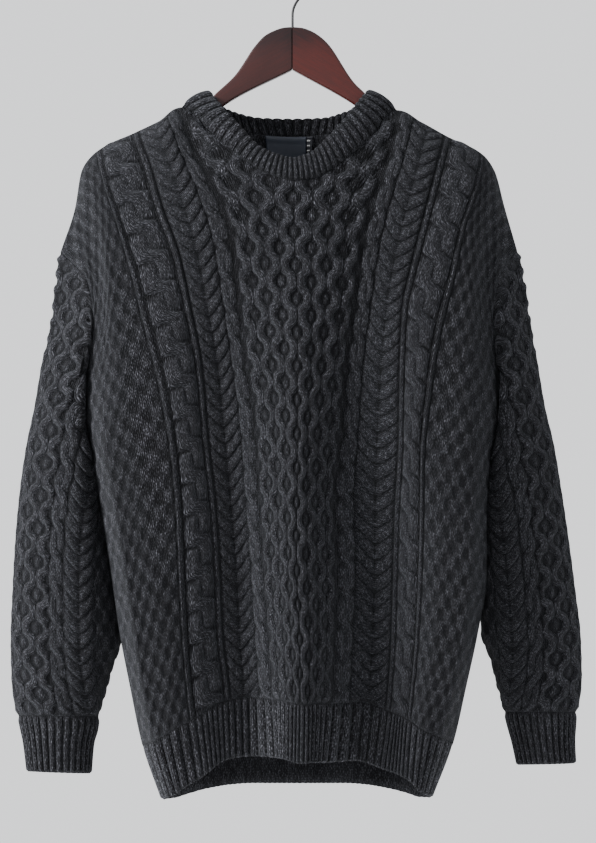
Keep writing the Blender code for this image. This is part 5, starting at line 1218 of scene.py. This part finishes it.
def sewn_label(name, sides, drop, finish):
    """A woven label with a folded top edge, on the inside of the back of the neck."""
    across = np.linspace(*sides, LABEL_SPANS[1] + 1)
    levels = np.linspace(LABEL_TOP - drop / BODY_CM, LABEL_TOP, LABEL_SPANS[0] + 1)
    points, normals = panel_normals("back", across / BACK_CM, levels)
    share = np.linspace(0, 1, LABEL_SPANS[0] + 1)
    folded = np.clip((share - LABEL_FOLD_FROM) / 0.04, 0, 1) * np.clip((1 - share) / 0.03, 0, 1)
    fold = LABEL_FOLD * np.sqrt(folded)
    stand = LABEL_OFF + LABEL_STAND * share + 0.05 * np.sin(math.pi * share)
    face = points - normals * ((WALL + SINK + stand) * CM)[:, None, None]
    face[:, :, 2] += LABEL_LIFT * CM
    outer = face - normals * ((LABEL_THICK + fold) * CM)[:, None, None]
    u = np.repeat(across[None], len(levels), axis=0)
    v = np.repeat((share * drop)[:, None], len(across), axis=1)
    return cloth(name, outer, face[::INSIDE_STEP, ::INSIDE_STEP], plain_stitches(u, v),
                 np.ones(u.shape), finish=finish)


class NodeBuilder:
    """A new material, with short ways to add shader nodes and join them."""

    def __init__(self, name):
        self.material = bpy.data.materials.new(name)
        self.material.use_nodes = True
        self.tree = self.material.node_tree
        self.shader = self.tree.nodes["Principled BSDF"]

    def node(self, kind, **values):
        """A node with its own settings."""
        made = self.tree.nodes.new(kind)
        for name, value in values.items():
            setattr(made, name, value)
        return made

    def put(self, socket, value):
        """Join a socket to another, or give it a constant."""
        if isinstance(value, bpy.types.NodeSocket):
            self.tree.links.new(value, socket)
        else:
            socket.default_value = value

    def math(self, operation, a, b=0.0, c=0.0):
        """One step of arithmetic."""
        made = self.node("ShaderNodeMath", operation=operation)
        for socket, value in zip(made.inputs, (a, b, c)):
            self.put(socket, value)
        return made.outputs[0]

    def blend(self, share, a, b, kind="MIX"):
        """Colour b over colour a by a share."""
        made = self.node("ShaderNodeMix", data_type="RGBA", blend_type=kind)
        self.put(made.inputs[0], share)
        self.put(made.inputs[6], a)
        self.put(made.inputs[7], b)
        return made.outputs[2]

    def spread(self, value, low, high, to_low=0.0, to_high=1.0, smooth_step=False):
        """A value moved from one range to another."""
        made = self.node("ShaderNodeMapRange")
        if smooth_step:
            made.interpolation_type = "SMOOTHSTEP"
        for socket, v in zip(made.inputs, (value, low, high, to_low, to_high)):
            self.put(socket, v)
        return made.outputs[0]

    def parts(self, vector):
        """The three parts of a vector."""
        made = self.node("ShaderNodeSeparateXYZ")
        self.put(made.inputs[0], vector)
        return made.outputs

    def flat_vector(self, x, y):
        """A vector from two parts."""
        made = self.node("ShaderNodeCombineXYZ")
        self.put(made.inputs[0], x)
        self.put(made.inputs[1], y)
        return made.outputs[0]

    def stitch_place(self):
        """Stitch coordinates across and along the cloth."""
        across, along, _ = self.parts(self.node("ShaderNodeUVMap", uv_map="knit").outputs[0])
        return across, along

    def object_place(self):
        """The place on the object, in metres."""
        return self.node("ShaderNodeTexCoord").outputs["Object"]

    def noise(self, place, scale, detail=2.0, roughness=0.5, dimensions="3D"):
        """Noise read at a place."""
        made = self.node("ShaderNodeTexNoise", noise_dimensions=dimensions)
        self.put(made.inputs["Vector"], place)
        self.put(made.inputs["Scale"], scale)
        self.put(made.inputs["Detail"], detail)
        self.put(made.inputs["Roughness"], roughness)
        return made.outputs[0]

    def shaded(self, colour, share):
        """A colour multiplied by a share: painted shade, and painted light where the share passes 1."""
        grey = self.node("ShaderNodeCombineColor")
        for socket in grey.inputs[:3]:
            self.put(socket, share)
        return self.blend(1.0, colour, grey.outputs[0], "MULTIPLY")

    def relief(self, height, distance, strength):
        """Fine relief from a height."""
        bump = self.node("ShaderNodeBump")
        for name, value in (("Distance", distance), ("Strength", strength), ("Height", height)):
            self.put(bump.inputs[name], value)
        self.put(self.shader.inputs["Normal"], bump.outputs[0])

    def finished(self, **values):
        """The material once its shader's inputs are set, by name with _ for a space."""
        for name, value in values.items():
            self.put(self.shader.inputs[name.replace("_", " ")], value)
        return self.material


def opaque(colour):
    """A property's colour with full alpha."""
    return tuple(colour) + (1.0,)


def wool():
    """Marled wool: V-shaped stitches whose plies run from near black to grey."""
    name = "marled_wool"
    if name in bpy.data.materials:
        return bpy.data.materials[name]
    colours = bpy.context.scene.sweater_colours
    b = NodeBuilder(name)
    u, v = b.stitch_place()
    # A stitch is two legs that lean together; leg runs from -1 to 1 across one and beat along it
    off = b.math("ABSOLUTE", b.math("SUBTRACT", b.math("FRACT", u), 0.5))
    run = b.math("MULTIPLY_ADD", off, -LEG_LEAN, v)
    leg = b.math("MULTIPLY", b.math("SUBTRACT", off, 0.25), 4.0)
    beat = b.math("MULTIPLY", b.math("SUBTRACT", b.math("FRACT", run), 0.5), 2.0)
    round_leg = b.math("SUBTRACT", 1.0, b.math("MULTIPLY", leg, leg))
    cubed = b.math("POWER", b.math("ABSOLUTE", beat), 3.0)
    round_beat = b.math("SUBTRACT", 1.0, b.math("MULTIPLY", cubed, 0.8))
    body = b.math("SQRT", b.math("MAXIMUM", b.math("MULTIPLY", round_leg, round_beat), 0.0))
    # Each leg has chances of its own, for where its plies lie and how light it is
    chance = b.node("ShaderNodeTexWhiteNoise", noise_dimensions="2D")
    which_leg = b.flat_vector(b.math("FLOOR", b.math("MULTIPLY", u, 2.0)), b.math("FLOOR", run))
    b.put(chance.inputs[0], which_leg)
    start = b.math("MULTIPLY_ADD", beat, 1.0, b.math("MULTIPLY", chance.outputs[0], 6.28))
    ply = b.math("SINE", b.math("MULTIPLY_ADD", leg, PLY_TURN, start))
    ply = b.spread(ply, -0.25, 0.95, smooth_step=True)
    chances = b.node("ShaderNodeSeparateColor")
    b.put(chances.inputs[0], chance.outputs["Color"])
    light_leg = b.spread(chances.outputs[0], 0.3, 0.85, 0.3, 1.0, smooth_step=True)
    # Flecks drawn out along the yarn
    drawn = b.flat_vector(b.math("MULTIPLY", u, FLECK[0]), b.math("MULTIPLY", run, FLECK[1]))
    lit = b.spread(b.noise(drawn, 1.0, 3.0, 0.7, "2D"), 0.42, 0.66, smooth_step=True)
    share = b.math("MULTIPLY", b.math("MULTIPLY_ADD", ply, 0.8, 0.2), light_leg)
    share = b.math("MULTIPLY", share, b.math("MULTIPLY_ADD", lit, 0.65, 0.35))
    colour = b.blend(share, opaque(colours.wool_dark), opaque(colours.wool_light))
    # Painted shade: darker in the creases of the cloth and between the legs
    deep = b.node("ShaderNodeAttribute", attribute_name="depth")
    crease = b.spread(deep.outputs["Fac"], 0.0, 0.75, 0.26, 1.0, smooth_step=True)
    shade = b.math("MULTIPLY", crease, b.spread(body, 0.0, 0.55, 0.35, 1.0))
    high = b.math("MULTIPLY_ADD", b.noise(b.object_place(), FUZZ), 0.25, body)
    b.relief(high, bpy.context.scene.sweater_knit.stitch_high, 0.9)
    return b.finished(Base_Color=b.shaded(colour, shade), Roughness=0.92, Specular_IOR_Level=0.08,
                      Sheen_Weight=0.05, Sheen_Roughness=0.45, Sheen_Tint=(0.75, 0.8, 0.9, 1.0))


def varnished_wood(name, side):
    """Red-brown varnish over straight grain that runs down the arm, with painted shade darker at the top.
    """
    colours = bpy.context.scene.sweater_colours
    dark = opaque(colours.wood_dark)
    light = opaque(colours.wood_left if side < 0 else colours.wood_right)
    b = NodeBuilder(name)
    place = b.object_place()
    turned = b.node("ShaderNodeMapping", vector_type="TEXTURE")
    b.put(turned.inputs["Vector"], place)
    turned.inputs["Rotation"].default_value = (0, side * GRAIN_LEAN, 0)
    turned.inputs["Scale"].default_value = GRAIN_DRAWN
    line = b.spread(b.noise(turned.outputs[0], 14.0, 5.0, 0.65), 0.35, 0.68, smooth_step=True)
    pore = b.spread(b.noise(turned.outputs[0], 60.0), 0.60, 0.72, smooth_step=True)
    x, _, z = b.parts(place)
    # Painted shade: darker towards the top, lighter lower down
    height = b.math("MULTIPLY_ADD", b.noise(place, 22.0), 0.03, z)
    low = b.spread(height, *WOOD_TOP_SHADE, smooth_step=True)
    colour = b.blend(b.math("MULTIPLY_ADD", line, 0.3, b.math("MULTIPLY", low, 0.7)), dark, light)
    colour = b.blend(b.math("MULTIPLY", pore, 0.3), colour, dark)
    joint = b.spread(b.math("ABSOLUTE", x), *WOOD_JOINT, 0.45, 0.0)
    b.relief(line, 0.0002, 0.3)
    return b.finished(Base_Color=b.blend(joint, colour, dark),
                      Roughness=b.spread(line, 0.0, 1.0, 0.42, 0.34),
                      Specular_IOR_Level=0.2, Coat_Weight=0.12, Coat_Roughness=0.25)


def dark_wire():
    """Blackened steel wire with faint draw marks."""
    wire = bpy.context.scene.sweater_colours.wire
    b = NodeBuilder("dark_wire")
    marks = b.noise(b.object_place(), 900.0)
    worn = opaque(min(1.0, 1.7 * c) for c in wire)
    return b.finished(Base_Color=b.blend(b.spread(marks, 0.45, 0.7), opaque(wire), worn),
                      Roughness=b.spread(marks, 0.3, 0.7, 0.32, 0.5), Metallic=0.1, Specular_IOR_Level=0.3)


def satin(name, tint, bars=False):
    """Woven satin ribbon with painted light and shade on its threads, and pale woven bars across it where
    asked.
    """
    b = NodeBuilder(name)
    u, v = b.stitch_place()
    thread = b.math("SINE", b.math("MULTIPLY", v, 2 * math.pi / SATIN_THREAD))
    crosswise = b.math("MULTIPLY", u, 2 * math.pi / SATIN_THREAD)
    crosswise = b.math("SINE", b.math("MULTIPLY_ADD", v, SATIN_LEAN, crosswise))
    weave = b.math("MULTIPLY_ADD", thread, 0.3, b.math("MULTIPLY", crosswise, 0.2))
    # Painted light and shade: lighter on the raised threads, darker between them
    colour = b.shaded(opaque(tint), b.spread(weave, -0.5, 0.5, 0.8, 1.15))
    if bars:
        beat = b.math("FRACT", b.math("MULTIPLY_ADD", v, BARS_TO_CM, 0.35))
        short = b.math("MULTIPLY", b.math("GREATER_THAN", beat, 0.72), b.math("LESS_THAN", u, BARS_END))
        colour = b.blend(short, colour, opaque(bpy.context.scene.sweater_colours.bars))
    b.relief(weave, 0.0001, 0.5)
    return b.finished(Base_Color=colour, Roughness=0.42, Specular_IOR_Level=0.35)


class SweaterKnit(PropertyGroup):
    honeycomb_high: FloatProperty(name="Honeycomb", description="Height of the honeycomb's ridges",
                                  default=0.0041, unit="LENGTH")
    rope_high: FloatProperty(name="Ropes", description="Height of the widest rope cable",
                             default=0.0046, unit="LENGTH")
    chevron_high: FloatProperty(name="Chevrons", description="Height of the chevron cable",
                                default=0.0036, unit="LENGTH")
    twist_high: FloatProperty(name="Twisted ribs", description="Height of the single twisted ribs",
                              default=0.0028, unit="LENGTH")
    moss_high: FloatProperty(name="Moss stitch", description="Height of the moss stitch at the sides",
                             default=0.0018, unit="LENGTH")
    rib_high: FloatProperty(name="Ribs", description="Height of the hem, cuff and neck ribs",
                            default=0.0030, unit="LENGTH")
    stitch_high: FloatProperty(name="Stitches", description="Relief of the single stitches",
                               default=0.0016, unit="LENGTH")


class SweaterColours(PropertyGroup):
    wool_dark: FloatVectorProperty(name="Dark ply", description="Darkest ply of the marled wool",
                                   subtype="COLOR", default=(0.0016, 0.0016, 0.0019))
    wool_light: FloatVectorProperty(name="Light ply", description="Lightest ply of the marled wool",
                                    subtype="COLOR", default=(0.092, 0.0935, 0.108))
    wood_dark: FloatVectorProperty(name="Wood, dark", description="Darkest tone of the hanger's varnish",
                                   subtype="COLOR", default=(0.0075, 0.0030, 0.0034))
    wood_left: FloatVectorProperty(name="Wood, left half", description="Lightest tone of the left half",
                                   subtype="COLOR", default=(0.026, 0.0065, 0.0058))
    wood_right: FloatVectorProperty(name="Wood, right half", description="Lightest tone of the right half",
                                    subtype="COLOR", default=(0.042, 0.0068, 0.0052))
    wire: FloatVectorProperty(name="Hook", description="Blackened wire of the hook",
                              subtype="COLOR", default=(0.009, 0.009, 0.010))
    label: FloatVectorProperty(name="Label", description="Satin of the bare label in the neck",
                               subtype="COLOR", default=(0.016, 0.021, 0.033))
    tag: FloatVectorProperty(name="Tag", description="Satin of the small tag beside the label",
                             subtype="COLOR", default=(0.012, 0.013, 0.018))
    bars: FloatVectorProperty(name="Tag's bars", description="Pale bars woven into the tag",
                              subtype="COLOR", default=(0.42, 0.42, 0.42))
    floor: FloatVectorProperty(name="Floor", description="Pale studio floor", subtype="COLOR",
                               default=(0.8, 0.8, 0.8))
    air: FloatVectorProperty(name="Surround", description="Pale surround and its soft light",
                             subtype="COLOR", default=(0.93, 0.94, 0.96))


class SWEATER_OT_body(Operator):
    """Knit the front, the back and their ribbed hems"""
    bl_idname = "sweater.body"
    bl_label = "Body"

    def execute(self, context):
        for which in ("front", "back"):
            fine_panel(which)
            fine_hem(which)
        return {"FINISHED"}


class SWEATER_OT_sleeves(Operator):
    """Knit the sleeves and their cuffs"""
    bl_idname = "sweater.sleeves"
    bl_label = "Sleeves"

    def execute(self, context):
        fine_sleeve("knit_sleeve_left", "sleeve_left", SLEEVE_LEFT, -1)
        fine_sleeve("knit_sleeve_right", "sleeve_right", SLEEVE_RIGHT, 1)
        fine_cuff("knit_cuff_left", "cuff_left", CUFF_LEFT, -1)
        fine_cuff("knit_cuff_right", "cuff_right", CUFF_RIGHT, 1)
        return {"FINISHED"}


class SWEATER_OT_neckband(Operator):
    """Knit the doubled neckband"""
    bl_idname = "sweater.neckband"
    bl_label = "Neckband"

    def execute(self, context):
        fine_neckband()
        return {"FINISHED"}


class SWEATER_OT_label(Operator):
    """Sew the label and the tag into the back of the neck"""
    bl_idname = "sweater.label"
    bl_label = "Label and tag"

    def execute(self, context):
        colours = context.scene.sweater_colours
        ob = sewn_label("neck_label", LABEL_SIDES, LABEL_DROP, satin("label_satin", colours.label))
        hang(ob, "label")
        ob = sewn_label("neck_tag", TAG_SIDES, TAG_DROP, satin("tag_satin", colours.tag, bars=True))
        hang(ob, "size_tag")
        return {"FINISHED"}


class SWEATER_OT_hanger(Operator):
    """Shape the two wooden halves of the hanger and its wire hook"""
    bl_idname = "sweater.hanger"
    bl_label = "Hanger"

    def execute(self, context):
        hanger_half("wood_half_left", "hanger_left", ARM_LEFT, -1)
        hanger_half("wood_half_right", "hanger_right", ARM_RIGHT, 1)
        wire_hook()
        return {"FINISHED"}


class SWEATER_OT_stage(Operator):
    """Set the floor, the soft light and the camera"""
    bl_idname = "sweater.stage"
    bl_label = "Stage"

    def execute(self, context):
        scene = context.scene
        colours = scene.sweater_colours
        start_shaping()
        bpy.ops.mesh.primitive_plane_add(size=FLOOR_SIZE, location=(0, 0, FLOOR_Z))
        floor = context.object
        floor.name = "studio_floor"
        paint = NodeBuilder("studio_floor")
        floor.data.materials.append(paint.finished(Base_Color=opaque(colours.floor), Roughness=0.8))
        world = bpy.data.worlds.new("studio_air")
        scene.world = world
        world.use_nodes = True
        air = world.node_tree.nodes["Background"]
        air.inputs[0].default_value = opaque(colours.air)
        air.inputs[1].default_value = AIR_STRENGTH
        for light in LIGHTS:
            add_light(*light)
        camera = bpy.data.objects.new("camera", bpy.data.cameras.new("camera"))
        scene.collection.objects.link(camera)
        camera.location = (VIEW_X * CM, -(VIEW_DISTANCE + SEAM_Y) * CM, VIEW_Z * CM)
        camera.rotation_euler = (math.pi / 2, 0, 0)
        camera.data.lens = camera.data.sensor_width * VIEW_DISTANCE / FRAME_HIGH
        scene.camera = camera
        return {"FINISHED"}


def add_light(name, place, size, power):
    """A square soft light that faces the middle of the sweater."""
    data = bpy.data.lights.new(name, "AREA")
    data.size = size
    data.energy = power
    ob = bpy.data.objects.new(name, data)
    bpy.context.scene.collection.objects.link(ob)
    ob.location = place
    ob.rotation_euler = (Vector(LIT_PLACE) - Vector(place)).to_track_quat("-Z", "Y").to_euler()


class SWEATER_PT_sweater(Panel):
    """Sizes, colours and pieces of the sweater"""
    bl_idname = "SWEATER_PT_sweater"
    bl_label = "Cable-knit sweater"
    bl_space_type = "VIEW_3D"
    bl_region_type = "UI"
    bl_category = "Sweater"

    def draw(self, context):
        layout = self.layout
        for group in (context.scene.sweater_knit, context.scene.sweater_colours):
            box = layout.box()
            for name in group.__annotations__:
                box.prop(group, name)
        for operator in OPERATORS:
            layout.operator(operator.bl_idname)


OPERATORS = (SWEATER_OT_body, SWEATER_OT_sleeves, SWEATER_OT_neckband, SWEATER_OT_label,
             SWEATER_OT_hanger, SWEATER_OT_stage)
CLASSES = (SweaterKnit, SweaterColours) + OPERATORS + (SWEATER_PT_sweater,)


def register():
    for cls in CLASSES:
        bpy.utils.register_class(cls)
    bpy.types.Scene.sweater_knit = PointerProperty(type=SweaterKnit)
    bpy.types.Scene.sweater_colours = PointerProperty(type=SweaterColours)


def unregister():
    del bpy.types.Scene.sweater_colours
    del bpy.types.Scene.sweater_knit
    for cls in reversed(CLASSES):
        bpy.utils.unregister_class(cls)


def main():
    """Register the panel's classes, then knit and finish every piece in order."""
    register()
    bpy.ops.sweater.body()
    bpy.ops.sweater.sleeves()
    bpy.ops.sweater.neckband()
    bpy.ops.sweater.label()
    bpy.ops.sweater.hanger()
    bpy.ops.sweater.stage()


if __name__ == "__main__":
    main()
